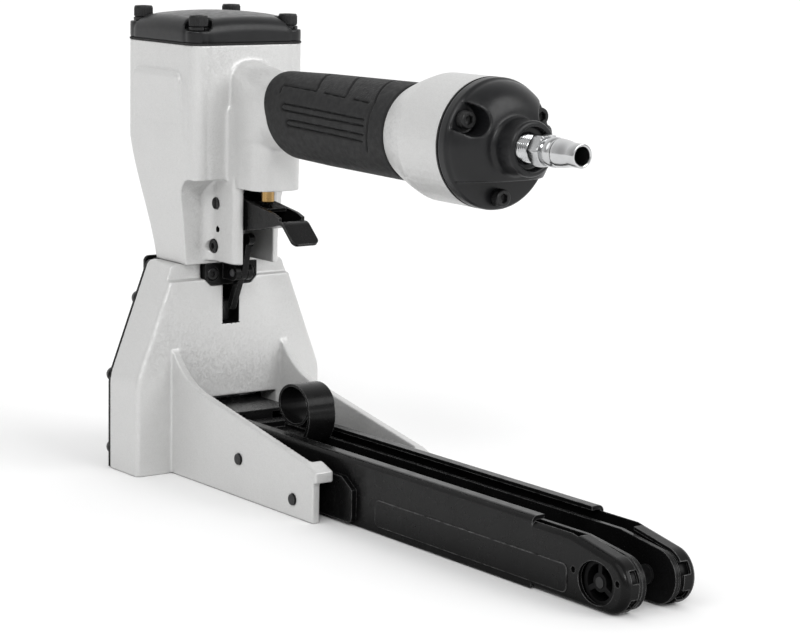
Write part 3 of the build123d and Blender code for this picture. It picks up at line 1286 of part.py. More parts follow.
NODES = {
    "cylinder_housing": one(cylinder_housing()),
    "top_cap": one(top_cap()),
    "cap_gasket": one(cap_gasket()),
    "cap_washers": cap_washers(),
    "cap_screws": cap_screws(),
    "cylinder_sleeve": one(cylinder_sleeve()),
    "piston_bumper": one(piston_bumper()),
    "rod_bush": one(rod_bush()),
    "grip_sleeve": one(grip_sleeve()),
    "end_cap": one(end_cap()),
    "end_cap_gasket": one(end_cap_gasket()),
    "end_cap_screws": end_cap_screws(),
    "air_plug": one(air_plug()),
    "trigger_pin": one(trigger_pin()),
    "cheek_screw": one(cheek_screw()),
    "valve_bushing": one(valve_bushing()),
    "valve_spring": one(valve_spring()),
    "base_casting": one(base_casting()),
    "front_plate": one(front_plate()),
    "front_plate_screws": front_plate_screws(),
    "front_guard": one(front_guard()),
    "upper_plate_screws": upper_plate_screws(),
    "housing_screws": housing_screws(),
    "sole_plate": one(sole_plate()),
    "clincher_pivots": clincher_pivots(),
    "safety_bracket": one(safety_bracket()),
    "bracket_screws": bracket_screws(),
    "lever_pin": one(lever_pin()),
    "arm_pins": arm_pins(),
    "right_carrier": one(RIGHT_CARRIER),
    "left_carrier": far_side(RIGHT_CARRIER),
    "right_outer_plate": one(RIGHT_OUTER),
    "left_outer_plate": far_side(RIGHT_OUTER),
    "right_inner_plate": one(RIGHT_INNER),
    "left_inner_plate": far_side(RIGHT_INNER),
    "magazine_bridge": one(magazine_bridge()),
    "magazine_spacers": magazine_spacers(),
    "drum_axles": drum_axles(),
    "right_spring_band": one(RIGHT_BAND),
    "left_spring_band": far_side(RIGHT_BAND),
    "piston": one(piston()),
    "piston_ring": one(piston_ring()),
    "piston_rod": one(piston_rod()),
    "crosshead": one(crosshead()),
    "driver_blade": one(driver_blade()),
    "blade_pin": one(rod_x(BLADE_PIN_D, YOKE_FRONT, HUB_REAR, 0, blade_pin_z())),
    "right_clincher": one(RIGHT_CLINCHER),
    "left_clincher": far_side(RIGHT_CLINCHER),
    "right_follower": one(RIGHT_FOLLOWER),
    "left_follower": far_side(RIGHT_FOLLOWER),
    "trigger": one(trigger()),
    "valve_stem": one(valve_stem()),
    "safety_lever": one(safety_lever()),
    "pusher": one(pusher()),
    "right_drum": one(RIGHT_DRUM),
    "left_drum": far_side(RIGHT_DRUM),
}

for name, pieces in NODES.items():
    solids = [TO_FRAME * solid for piece in pieces for solid in piece.solids()]
    export_step(Compound(children=solids), f"parts/{name}.step")
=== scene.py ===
"""Pneumatic carton stapler: finished castings, grip, screws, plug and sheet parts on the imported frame."""

import json
import math

import bmesh
import bpy
import numpy as np
from bpy.props import FloatProperty, FloatVectorProperty, IntProperty, PointerProperty
from mathutils import Matrix, Vector


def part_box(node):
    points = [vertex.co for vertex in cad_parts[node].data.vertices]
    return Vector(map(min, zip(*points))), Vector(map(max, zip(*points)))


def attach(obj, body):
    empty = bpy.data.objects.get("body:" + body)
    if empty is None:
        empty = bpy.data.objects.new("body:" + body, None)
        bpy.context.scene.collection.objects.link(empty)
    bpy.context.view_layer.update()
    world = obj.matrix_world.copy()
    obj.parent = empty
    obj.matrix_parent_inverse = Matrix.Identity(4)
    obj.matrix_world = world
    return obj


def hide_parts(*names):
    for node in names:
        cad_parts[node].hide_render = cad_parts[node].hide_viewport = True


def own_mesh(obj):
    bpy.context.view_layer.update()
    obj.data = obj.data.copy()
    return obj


bl_info = {
    "name": "Carton Stapler",
    "version": (1, 0, 0),
    "blender": (4, 5, 0),
    "location": "View3D > Sidebar > Stapler",
    "description": "Builds the visible pieces of an air-driven carton stapler on its frame",
    "category": "Object",
}

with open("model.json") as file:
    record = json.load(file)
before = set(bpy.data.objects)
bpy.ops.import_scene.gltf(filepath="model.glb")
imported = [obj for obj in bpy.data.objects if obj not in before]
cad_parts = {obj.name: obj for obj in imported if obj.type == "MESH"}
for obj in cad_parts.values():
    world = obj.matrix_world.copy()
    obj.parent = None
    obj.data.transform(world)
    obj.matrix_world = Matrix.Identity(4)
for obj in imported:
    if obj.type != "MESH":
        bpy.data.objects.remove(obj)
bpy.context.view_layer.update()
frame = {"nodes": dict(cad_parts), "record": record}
NODES = frame["nodes"]
MM = 0.001
ROUND = 2 * math.pi


# Properties


RGBA = {"size": 4, "min": 0.0, "max": 1.0}


class StaplerFinish(bpy.types.PropertyGroup):
    """Colours of the finishes"""

    silver: FloatVectorProperty(
        name="Silver paint", description="Colour of the painted castings",
        default=(0.58, 0.58, 0.575, 1.0), subtype="COLOR", **RGBA,
    )
    satin_black: FloatVectorProperty(
        name="Satin black", description="Colour of the coated caps",
        default=(0.0065, 0.0067, 0.0074, 1.0), subtype="COLOR", **RGBA,
    )
    black_steel: FloatVectorProperty(
        name="Black steel", description="Colour of the coated sheet",
        default=(0.0042, 0.0042, 0.0043, 1.0), subtype="COLOR", **RGBA,
    )
    oxide: FloatVectorProperty(
        name="Black oxide", description="Colour of the screws and pins",
        default=(0.007, 0.007, 0.0074, 1.0), subtype="COLOR", **RGBA,
    )
    rubber: FloatVectorProperty(
        name="Rubber", description="Colour of the grip",
        default=(0.0095, 0.0095, 0.0098, 1.0), subtype="COLOR", **RGBA,
    )
    brass: FloatVectorProperty(
        name="Brass", description="Colour of the valve stem and bushes",
        default=(0.42, 0.27, 0.11, 1.0), subtype="COLOR", **RGBA,
    )
    zinc: FloatVectorProperty(
        name="Bright zinc", description="Colour of the air plug",
        default=(0.58, 0.585, 0.59, 1.0), subtype="COLOR", **RGBA,
    )
    steel: FloatVectorProperty(
        name="Ground steel", description="Colour of the bare steel pieces",
        default=(0.42, 0.42, 0.43, 1.0), subtype="COLOR", **RGBA,
    )
    spring: FloatVectorProperty(
        name="Spring steel", description="Colour of the blued spring bands",
        default=(0.12, 0.12, 0.125, 1.0), subtype="COLOR", **RGBA,
    )


class StaplerShape(bpy.types.PropertyGroup):
    """Sizes of the modelled detail"""

    cast_voxel: FloatProperty(
        name="Casting grain", description="Cell size from which the castings are smoothed",
        default=0.6 * MM, min=0.4 * MM, max=3 * MM, unit="LENGTH", precision=5,
    )
    cast_passes: IntProperty(
        name="Casting smoothing", description="Smoothing passes over the castings", default=3, min=0, max=40,
    )
    cap_voxel: FloatProperty(
        name="Cap grain", description="Cell size from which the caps are smoothed",
        default=0.6 * MM, min=0.3 * MM, max=3 * MM, unit="LENGTH", precision=5,
    )
    cap_passes: IntProperty(
        name="Cap smoothing", description="Smoothing passes over the caps", default=6, min=0, max=40,
    )
    sheet_edge: FloatProperty(
        name="Sheet edge", description="Width of the broken edge of sheet parts",
        default=0.3 * MM, min=0.05 * MM, max=1 * MM, unit="LENGTH", precision=5,
    )
    groove_depth: FloatProperty(
        name="Groove depth", description="Depth of the lines in the grip",
        default=1.0 * MM, min=0.0, max=2 * MM, unit="LENGTH", precision=5,
    )
    groove_width: FloatProperty(
        name="Groove width", description="Half width of the lines in the grip",
        default=0.5 * MM, min=0.2 * MM, max=2 * MM, unit="LENGTH", precision=5,
    )
    knurl: FloatProperty(
        name="Knurl depth", description="Depth of the knurling on the screw heads",
        default=0.25 * MM, min=0.0, max=0.6 * MM, unit="LENGTH", precision=5,
    )


class StaplerStage(bpy.types.PropertyGroup):
    """Light and floor"""

    floor: FloatVectorProperty(
        name="Floor", description="Colour of the floor",
        default=(0.96, 0.96, 0.96, 1.0), subtype="COLOR", **RGBA,
    )
    key: FloatProperty(name="Key light", description="Strength of the main light", default=0.7, min=0.0)
    fill: FloatProperty(name="Fill light", description="Strength of the second light", default=1.5, min=0.0)
    front: FloatProperty(name="Front light", description="Strength of the small light", default=0.9, min=0.0)
    backdrop: FloatProperty(name="Backdrop", description="Strength of the light behind", default=1.0, min=0.0)
    room: FloatProperty(name="Room", description="Strength of the light in front", default=0.4, min=0.0)


# Materials


SLOT_FINISH = {
    "silver": "silver_paint", "black_cast": "satin_black", "black_steel": "coated_steel",
    "oxide": "black_oxide", "rubber": "moulded_rubber", "gasket": "gasket_sheet",
    "brass": "turned_brass", "zinc": "bright_zinc", "steel": "ground_steel",
    "spring": "blued_spring", "drum": "black_nylon",
}
# Factor of painted shade on the paint colour of the faces between the cheeks
PAINTED_SHADE_BETWEEN_CHEEKS = 0.5
# Height of the fine bumps in coatings and bare metal
FINE_BUMP = 0.1 * MM
# Stretch of the grain of metal turned about an axis, or ground along X
GRAIN_STRETCH = {"X": (12.0, 1.0, 1.0), "Z": (1.0, 1.0, 12.0), None: (1.0, 9.0, 9.0)}


def feed(tree, node, **inputs):
    """Sets inputs of a node, by name or as i and a number, where a value may be a socket to link."""
    for key, value in inputs.items():
        socket = node.inputs[int(key[1:]) if key[1:].isdigit() else key.replace("_", " ")]
        if isinstance(value, bpy.types.NodeSocket):
            tree.links.new(value, socket)
        else:
            socket.default_value = value


def add(tree, kind, settings=None, **inputs):
    """New shader node with its settings and inputs."""
    made = tree.nodes.new(kind)
    for key, value in (settings or {}).items():
        setattr(made, key, value)
    feed(tree, made, **inputs)
    return made


def surface(material):
    """Emptied node tree of a material, and the shader of its surface."""
    material.use_nodes = True
    tree = material.node_tree
    tree.nodes.clear()
    shader = tree.nodes.new("ShaderNodeBsdfPrincipled")
    output = tree.nodes.new("ShaderNodeOutputMaterial")
    tree.links.new(shader.outputs["BSDF"], output.inputs["Surface"])
    return tree, shader


def place(tree):
    return tree.nodes.new("ShaderNodeTexCoord").outputs["Object"]


def true_normal(tree):
    return tree.nodes.new("ShaderNodeNewGeometry").outputs["Normal"]


def calc(tree, operation, *values):
    """Result of a math node on numbers or sockets."""
    inputs = {f"i{number}": value for number, value in enumerate(values)}
    return add(tree, "ShaderNodeMath", {"operation": operation}, **inputs).outputs[0]


def vector_math(tree, operation, **inputs):
    return add(tree, "ShaderNodeVectorMath", {"operation": operation}, **inputs)


def spread(tree, value, old_low, old_high, low, high):
    """Value brought from one range to another."""
    made = add(
        tree, "ShaderNodeMapRange", Value=value, From_Min=old_low, From_Max=old_high, To_Min=low, To_Max=high
    )
    return made.outputs["Result"]


def noise(tree, where, scale, detail=2.0):
    return add(tree, "ShaderNodeTexNoise", Vector=where, Scale=scale, Detail=detail).outputs["Fac"]


def between(tree, value, low, high):
    """Value of a noise spread from low to high."""
    return spread(tree, value, 0.3, 0.7, low, high)


def mottle(tree, where, scale, low, high, detail=2.0):
    """Noise of a scale, from low to high."""
    return between(tree, noise(tree, where, scale, detail), low, high)


def shaded(tree, colour, factor):
    """Colour times a grey factor."""
    return vector_math(tree, "SCALE", i0=tuple(colour[:3]), Scale=factor).outputs["Vector"]


def bump(tree, height, strength, distance):
    made = add(tree, "ShaderNodeBump", Height=height, Strength=strength, Distance=distance)
    return made.outputs["Normal"]


def flake_normal(tree, where, scale, lean):
    """Surface normal that leans a little a different way in each small cell, as flakes in paint lie."""
    cells = add(tree, "ShaderNodeTexVoronoi", Vector=where, Scale=scale).outputs["Color"]
    tilt = vector_math(tree, "MULTIPLY_ADD", i0=cells, i1=(lean,) * 3, i2=(-lean / 2,) * 3)
    leaning = vector_math(tree, "ADD", i0=true_normal(tree), i1=tilt.outputs["Vector"])
    return vector_math(tree, "NORMALIZE", i0=leaning.outputs["Vector"]).outputs["Vector"]


def openness(tree, reach):
    """Share of the view from a point that no face within reach blocks."""
    return add(tree, "ShaderNodeAmbientOcclusion", {"samples": 8}, Distance=reach).outputs["AO"]


def hole_shade(tree, reach):
    """Painted shade: a grey factor that darkens the colour only inside narrow holes and slots."""
    return spread(tree, openness(tree, reach), 0.12, 0.42, 0.06, 1.0)


def gloss_with_painted_shade(tree, reach, gloss):
    """Gloss of the sheet, faded as painted shade where other faces close it in."""
    return spread(tree, openness(tree, reach), 0.35, 0.95, 0.1 * gloss, gloss)


def edge_wear_and_glint(tree, radius, where):
    """Mask of worn edges that also paints a glint along them, broken up by noise."""
    soft = add(tree, "ShaderNodeBevel", {"samples": 6}, Radius=radius).outputs["Normal"]
    dot = vector_math(tree, "DOT_PRODUCT", i0=soft, i1=true_normal(tree)).outputs["Value"]
    sharp = spread(tree, calc(tree, "SUBTRACT", 1.0, dot), 0.06, 0.24, 0.0, 1.0)
    return calc(tree, "MULTIPLY", sharp, mottle(tree, where, 260.0, 0.15, 1.0, detail=3.0))


def grey_at_wear_and_glint(tree, wear_and_glint, colour, grey):
    """Colour that goes over to a grey where it is worn and where a glint is painted."""
    mix = add(tree, "ShaderNodeMix", {"data_type": "RGBA"}, i0=wear_and_glint, i6=colour, i7=(grey, grey, grey, 1.0))
    return mix.outputs[2]


def silver_paint(finish, name="silver_paint", painted_shade_factor=1.0):
    """Silver-grey paint with fine flakes that sparkle in its highlights; painted shade darkens it in holes
    and slots, and all over where its shade factor is below one.
    """
    tree, shader = surface(bpy.data.materials.new(name))
    where = place(tree)
    flakes = mottle(tree, where, 1900.0, 0.965, 1.04, detail=1.0)
    # Random cloudy tone, scaled down by the painted shade factor in the darker copy used between the cheeks
    cloud_and_painted_shade = mottle(tree, where, 30.0, 0.985 * painted_shade_factor, 1.015 * painted_shade_factor)
    # Painted shade: the paint's colour darkens inside narrow holes and slots
    tone = calc(tree, "MULTIPLY", calc(tree, "MULTIPLY", flakes, cloud_and_painted_shade), hole_shade(tree, 4 * MM))
    feed(
        tree, shader,
        Base_Color=shaded(tree, finish.silver, tone),
        Roughness=mottle(tree, where, 900.0, 0.32, 0.42),
        Normal=flake_normal(tree, where, 1150.0, 0.16),
        Metallic=0.28,
        Specular_IOR_Level=0.5,
    )


def satin_black(finish):
    """Satin black coating with a slight orange peel."""
    tree, shader = surface(bpy.data.materials.new("satin_black"))
    where = place(tree)
    feed(
        tree, shader,
        Base_Color=shaded(tree, finish.satin_black, mottle(tree, where, 60.0, 0.85, 1.2)),
        Roughness=mottle(tree, where, 300.0, 0.28, 0.38),
        Normal=bump(tree, noise(tree, where, 1300.0), 0.08, FINE_BUMP),
        Specular_IOR_Level=0.34,
    )


def coated_steel(finish):
    """Black coated sheet, with edges worn to grey and a painted glint along them."""
    tree, shader = surface(bpy.data.materials.new("coated_steel"))
    where = place(tree)
    wear_and_glint = edge_wear_and_glint(tree, 0.9 * MM, where)
    tone = shaded(tree, finish.black_steel, mottle(tree, where, 45.0, 0.7, 1.35, detail=4.0))
    feed(
        tree, shader,
        Base_Color=grey_at_wear_and_glint(tree, wear_and_glint, tone, 0.19),
        Roughness=mottle(tree, where, 160.0, 0.2, 0.32, detail=3.0),
        Normal=bump(tree, noise(tree, where, 900.0), 0.08, FINE_BUMP),
        # Painted shade: the gloss fades in the hollows between the sheet parts
        Specular_IOR_Level=gloss_with_painted_shade(tree, 26 * MM, 0.17),
    )


def black_oxide(finish):
    """Dark fasteners, paler on their edges from wear and a painted glint."""
    tree, shader = surface(bpy.data.materials.new("black_oxide"))
    where = place(tree)
    wear_and_glint = edge_wear_and_glint(tree, 0.35 * MM, where)
    tone = shaded(tree, finish.oxide, mottle(tree, where, 500.0, 0.7, 1.4))
    feed(
        tree, shader,
        Base_Color=grey_at_wear_and_glint(tree, wear_and_glint, tone, 0.08),
        Roughness=mottle(tree, where, 900.0, 0.32, 0.5),
        Specular_IOR_Level=0.35,
    )


def moulded_rubber(finish):
    """Matte rubber, pebbled in fields and dark in its lines where the mesh says so."""
    tree, shader = surface(bpy.data.materials.new("moulded_rubber"))
    where = place(tree)
    field = add(tree, "ShaderNodeAttribute", {"attribute_name": "pebble"}).outputs["Fac"]
    line = add(tree, "ShaderNodeAttribute", {"attribute_name": "line"}).outputs["Fac"]
    cells = add(tree, "ShaderNodeTexVoronoi", Vector=where, Scale=1150.0).outputs["Distance"]
    grain = calc(tree, "MULTIPLY_ADD", calc(tree, "MULTIPLY", cells, field), -2.4, noise(tree, where, 1500.0))
    lined = calc(tree, "MULTIPLY_ADD", line, -0.75, calc(tree, "MULTIPLY_ADD", field, 0.25, 1.0))
    tone = calc(tree, "MULTIPLY", lined, mottle(tree, where, 55.0, 0.9, 1.12))
    feed(
        tree, shader,
        Base_Color=shaded(tree, finish.rubber, tone),
        Roughness=mottle(tree, where, 350.0, 0.55, 0.7),
        Normal=bump(tree, grain, 0.35, 0.25 * MM),
        Specular_IOR_Level=0.3,
    )


def dull_finish(name, colour, tone, rough, specular):
    """Plain finish, with its tone and roughness each as the scale of a noise and its low and high."""
    tree, shader = surface(bpy.data.materials.new(name))
    where = place(tree)
    feed(
        tree, shader,
        Base_Color=shaded(tree, colour, mottle(tree, where, *tone)),
        Roughness=mottle(tree, where, *rough),
        Specular_IOR_Level=specular,
    )


def bare_metal(name, colour, rough, grain, turned=None, painted_reflection_streaks=None):
    """Bare metal with a fine grain, turned about an axis or ground along X, and with painted reflection
    streaks along Z.
    """
    tree, shader = surface(bpy.data.materials.new(name))
    where = place(tree)
    lines = add(tree, "ShaderNodeMapping", Vector=where, Scale=GRAIN_STRETCH[turned]).outputs["Vector"]
    fine = noise(tree, lines, grain)
    tone = mottle(tree, where, 90.0, 0.88, 1.06)
    if painted_reflection_streaks:
        # Painted reflection: light and dark bands along Z in the colour
        upright = add(tree, "ShaderNodeMapping", Vector=where, Scale=(1.0, 1.0, 0.04)).outputs["Vector"]
        tone = calc(tree, "MULTIPLY", tone, mottle(tree, upright, painted_reflection_streaks, 0.3, 1.3, detail=1.0))
    feed(
        tree, shader,
        Base_Color=shaded(tree, colour, tone),
        Roughness=between(tree, fine, rough * 0.75, rough * 1.3),
        Normal=bump(tree, fine, 0.08, FINE_BUMP),
        Metallic=1.0,
    )


def slot_finishes(context):
    """Material of each slot in the record, made once."""
    finish = context.scene.stapler_finish
    if "silver_paint" not in bpy.data.materials:
        silver_paint(finish)
        silver_paint(finish, "thin_paint", PAINTED_SHADE_BETWEEN_CHEEKS)
        satin_black(finish)
        coated_steel(finish)
        black_oxide(finish)
        moulded_rubber(finish)
        # Painted shade: near-black finish put on the faces of the small cheek hole and the lever's slot,
        # where there is only shade
        dull_finish("bare_cavity", finish.black_steel, (300.0, 0.3, 0.7), (500.0, 0.7, 0.9), 0.1)
        dull_finish("gasket_sheet", finish.rubber, (700.0, 0.3, 0.6), (350.0, 0.6, 0.8), 0.5)
        dull_finish("black_nylon", finish.oxide, (120.0, 0.3, 0.6), (600.0, 0.42, 0.58), 0.1)
        bare_metal("turned_brass", finish.brass, 0.26, 700.0, turned="Z", painted_reflection_streaks=420.0)
        bare_metal("bright_zinc", finish.zinc, 0.15, 500.0, turned="X")
        bare_metal("ground_steel", finish.steel, 0.32, 500.0)
        bare_metal("blued_spring", finish.spring, 0.34, 500.0)
    return {slot: bpy.data.materials[name] for slot, name in SLOT_FINISH.items()}


def node_slots():
    return {row["node"]: row["material_slot"] for row in frame["record"]["subparts"]}


def node_finish(context, node):
    """Material of a node: that of its slot, apart from the blackened axles."""
    slot = "oxide" if node == "drum_axles" else node_slots()[node]
    return slot_finishes(context)[slot]


def node_body(node):
    for body, nodes in frame["record"]["behaviour"]["bodies"].items():
        if node in nodes:
            return body
    raise RuntimeError(f"no body holds {node}")


# Mesh helpers


# Points closer than this are one corner of a solid
WELD = 0.002 * MM
# Share of the faces kept on castings and caps
CAST_KEEP = 0.45
CAP_KEEP = 0.5
# Where the housing's forms run into each other: middle, half size and fade in mm
HOUSING_BLENDS = [((-116.0, 0.0, 190.0), (22.0, 26.0, 34.0), 8.0)]
SOFT_PASSES = 60
# Angles in degrees below which sheet faces are one face, and above which their edge is broken
SHEET_FLAT = 1.0
SHEET_CORNER = 40.0
# Middle of the magazine's rounded end, and its collar as radius and height off the inner sheet, in mm
TAIL_NOSE = (186.65, 13.5)
TAIL_COLLAR = [(9.6, -0.3), (9.6, 8.2), (10.7, 8.2), (10.7, 1.4), (12.0, 1.4), (12.0, -0.3)]
COLLAR_STEPS = 32
# Lowest and highest corner in mm of the gap between the cheeks, the small hole in the near one and the
# lever's slot, whose faces get painted shade
CHEEK_GAP = ((-147.5, -9.4, 111.5), (-98.0, 9.4, 152.0))
CHEEK_HOLE = ((-140.6, -13.85, 128.2), (-136.9, -6.0, 131.8))
LEVER_SLOT = ((-163.0, -5.4, 77.4), (-142.2, 5.4, 99.0))


def finish_piece(context, name, mesh, node, sharp_deg=35.0):
    """Object that stands for a node, with its finish, body and edge shading."""
    piece = bpy.data.objects.new(name, mesh)
    context.scene.collection.objects.link(piece)
    mesh.polygons.foreach_set("use_smooth", [True] * len(mesh.polygons))
    mesh.set_sharp_from_angle(angle=math.radians(sharp_deg))
    mesh.materials.clear()
    mesh.materials.append(node_finish(context, node))
    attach(piece, node_body(node))
    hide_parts(node)
    return piece


def welded(node):
    """Copy of a node's mesh with its split corners joined, as a bmesh."""
    shape = bmesh.new()
    shape.from_mesh(NODES[node].data)
    bmesh.ops.remove_doubles(shape, verts=shape.verts, dist=WELD)
    return shape


def shape_mesh(name, shape):
    mesh = bpy.data.meshes.new(name)
    shape.to_mesh(mesh)
    shape.free()
    return mesh


def with_modifiers(context, mesh, *modifiers, weights=None):
    """Mesh after the modifiers, each given as kind and settings, with weights as the group soft."""
    holder = bpy.data.objects.new("holder", mesh)
    context.scene.collection.objects.link(holder)
    if weights is not None:
        group = holder.vertex_groups.new(name="soft")
        for index in np.flatnonzero(weights):
            group.add([int(index)], float(weights[index]), "REPLACE")
    for kind, settings in modifiers:
        made = holder.modifiers.new(kind.lower(), kind)
        for key, value in settings.items():
            setattr(made, key, value)
    graph = context.evaluated_depsgraph_get()
    result = bpy.data.meshes.new_from_object(holder.evaluated_get(graph))
    bpy.data.objects.remove(holder)
    bpy.data.meshes.remove(mesh)
    return result


def soft_weights(mesh, places):
    """Weight of each point near the places, each given as middle, half size and fade in mm."""
    points = np.empty(len(mesh.vertices) * 3)
    mesh.vertices.foreach_get("co", points)
    points = points.reshape(-1, 3) / MM
    weights = np.zeros(len(points))
    for middle, half, fade in places:
        inside = (np.array(half) - np.abs(points - middle)) / fade
        weights = np.maximum(weights, np.clip(inside, 0, 1).min(axis=1))
    return weights


def cast_piece(context, node, name, voxel, passes, keep, soft=()):
    """Casting with soft edges: the node's form in fine cells, smoothed and thinned out."""
    mesh = shape_mesh(name, welded(node))
    mesh = with_modifiers(
        context, mesh,
        ("REMESH", {"mode": "VOXEL", "voxel_size": voxel, "use_smooth_shade": True}),
        ("SMOOTH", {"factor": 0.5, "iterations": passes}),
    )
    if soft:
        mesh = with_modifiers(
            context, mesh,
            ("SMOOTH", {"factor": 0.5, "iterations": SOFT_PASSES, "vertex_group": "soft"}),
            weights=soft_weights(mesh, soft),
        )
    mesh = with_modifiers(context, mesh, ("DECIMATE", {"decimate_type": "COLLAPSE", "ratio": keep}))
    mesh.name = name
    return finish_piece(context, name, mesh, node, sharp_deg=70.0)


def paint_shade_in_box(piece, box, finish):
    """Gives the faces of a piece inside a box another material, which paints shade into the gaps, holes and
    slots it is used on.
    """
    mesh = piece.data
    index = len(mesh.materials)
    mesh.materials.append(bpy.data.materials[finish])
    low, high = (Vector(corner) * MM for corner in box)
    for face in mesh.polygons:
        if all(a < at < b for a, at, b in zip(low, face.center, high)):
            face.material_index = index


def skin_rings(shape, rings, closed=True):
    """Quads between rings of points in order, each ring closed on itself, with flat ends if closed."""
    rows = [[shape.verts.new(point) for point in ring] for ring in rings]
    count = len(rows[0])
    for lower, upper in zip(rows, rows[1:]):
        for i in range(count):
            j = (i + 1) % count
            shape.faces.new((lower[i], lower[j], upper[j], upper[i]))
    if closed:
        shape.faces.new(rows[0][::-1])
        shape.faces.new(rows[-1])
    return rows


def tail_collar(shape, side):
    """Adds the stepped collar that closes the rounded end between the two sheets of one side."""
    middle_x, middle_z = TAIL_NOSE
    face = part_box("right_inner_plate")[1].y / MM
    rings = []
    for step in range(COLLAR_STEPS + 1):
        angle = math.pi * (step / COLLAR_STEPS - 0.5)
        along, up = math.cos(angle), math.sin(angle)
        rings.append([
            Vector((middle_x + r * along, side * (face + out), middle_z + r * up)) * MM
            for r, out in TAIL_COLLAR
        ])
    skin_rings(shape, rings)
    bmesh.ops.recalc_face_normals(shape, faces=shape.faces)


def sheet_piece(context, node, name, edge):
    """Sheet part with broken edges."""
    shape = welded(node)
    if node.endswith("inner_plate"):
        tail_collar(shape, 1 if node.startswith("right") else -1)
    bmesh.ops.dissolve_limit(
        shape, angle_limit=math.radians(SHEET_FLAT), use_dissolve_boundaries=False,
        verts=shape.verts, edges=shape.edges,
    )
    mesh = shape_mesh(name, shape)
    mesh.shade_smooth()
    bevel = {
        "width": edge, "segments": 2, "limit_method": "ANGLE", "angle_limit": math.radians(SHEET_CORNER),
        "use_clamp_overlap": True, "harden_normals": False,
    }
    mesh = with_modifiers(
        context, mesh, ("BEVEL", bevel), ("WEIGHTED_NORMAL", {"mode": "FACE_AREA", "weight": 100})
    )
    mesh.name = name
    finish_piece(context, name, mesh, node, sharp_deg=50.0)


def islands(node):
    """Lowest and highest corner of each separate solid of a node."""
    shape = welded(node)
    todo = set(shape.verts)
    found = []
    while todo:
        front = [todo.pop()]
        corners = []
        while front:
            vert = front.pop()
            corners.append(vert.co.copy())
            for edge in vert.link_edges:
                other = edge.other_vert(vert)
                if other in todo:
                    todo.remove(other)
                    front.append(other)
        found.append(tuple(Vector(map(pick, zip(*corners))) for pick in (min, max)))
    shape.free()
    return sorted(found, key=lambda pair: tuple(pair[0]))


def turn_to(direction):
    """Matrix that turns +Z to a direction."""
    return Vector((0, 0, 1)).rotation_difference(direction).to_matrix().to_4x4()


# Screws


RIM_POINTS = 72
# Node, direction of its heads, thread and key in mm, and head height of the round ones
SCREWS = [
    ("cap_screws", (0, 0, 1), 6.0, 5.0, None),
    ("end_cap_screws", (1, 0, 0), 5.0, 4.0, None),
    ("cheek_screw", (0, -1, 0), 4.0, 3.0, None),
    ("bracket_screws", (1, 0, 0), 4.0, 3.0, None),
    ("upper_plate_screws", (-1, 0, 0), 6.0, 5.0, None),
    ("housing_screws", (0, 0, -1), 6.0, 5.0, None),
    ("front_plate_screws", (-1, 0, 0), 5.0, 3.0, 4.6),
]
# Split washers: bore as a share of the outside, gap in degrees, and lift of one end and broken edge
WASHER_BORE = 0.62
WASHER_SPLIT = 12.0
WASHER_LIFT = 0.35 * MM
WASHER_EDGE = 0.15 * MM
WASHER_STEPS = 64


def hex_reach(apothem, angle):
    """Radius of a hexagon at an angle."""
    sixth = ROUND / 6
    return apothem / math.cos((angle % sixth) - sixth / 2)


def ring_points(radius, height):
    """Ring about +Z, where the radius may be a function of the angle."""
    points = []
    for i in range(RIM_POINTS):
        angle = ROUND * i / RIM_POINTS
        reach = radius(angle) if callable(radius) else radius
        points.append(Vector((reach * math.cos(angle), reach * math.sin(angle), height)))
    return points


def key_socket(key, top, depth):
    """Rings of a hexagon socket, from its broken rim down to its coned floor."""
    rim = 0.25 * MM

    def hexagon(grow):
        return lambda angle: hex_reach(key / 2 + grow, angle)

    return [
        ring_points(hexagon(rim), top), ring_points(hexagon(0), top - rim),
        ring_points(hexagon(0), top - depth), ring_points(key / 6, top - depth - key / 10),
    ]


def shank_rings(radius, length):
    tip = 0.5 * MM
    return [
        ring_points(radius - tip, -length), ring_points(radius, tip - length), ring_points(radius, 0.0)
    ]


def socket_screw(shape, thread, head_d, length, key, knurl):
    """Cap screw with a knurled head above the origin."""
    head = head_d / 2
    edge = 0.3 * MM
    pitch = ROUND / (RIM_POINTS / 2)

    def knurled(angle):
        tooth = abs((angle / pitch) % 1.0 - 0.5) * 2
        return head - knurl * (1 - tooth)

    rings = shank_rings(thread / 2, length)
    rings += [
        ring_points(head - 2 * edge, 0.0), ring_points(head - edge, edge), ring_points(knurled, 2 * edge),
        ring_points(knurled, thread - 4 * edge), ring_points(head - edge / 2, thread - 3 * edge),
        ring_points(head - edge, thread - edge), ring_points(head - 2.2 * edge, thread),
    ]
    skin_rings(shape, rings + key_socket(key, thread, thread / 2))


def button_screw(shape, thread, head_d, head_h, length, key):
    """Round-headed screw with its head above the origin."""
    reach = head_d / 2
    edge = 0.2 * MM
    flat = 0.35 * reach
    rings = shank_rings(thread / 2, length)
    rings += [ring_points(reach - edge, 0.0), ring_points(reach, edge)]
    for degrees in range(19, 74, 9):
        angle = math.radians(degrees)
        rings.append(ring_points(flat + (reach - flat) * math.cos(angle), head_h * math.sin(angle)))
    rings.append(ring_points(0.4 * reach + key / 6, head_h))
    skin_rings(shape, rings + key_socket(key, head_h, head_h * 0.55))


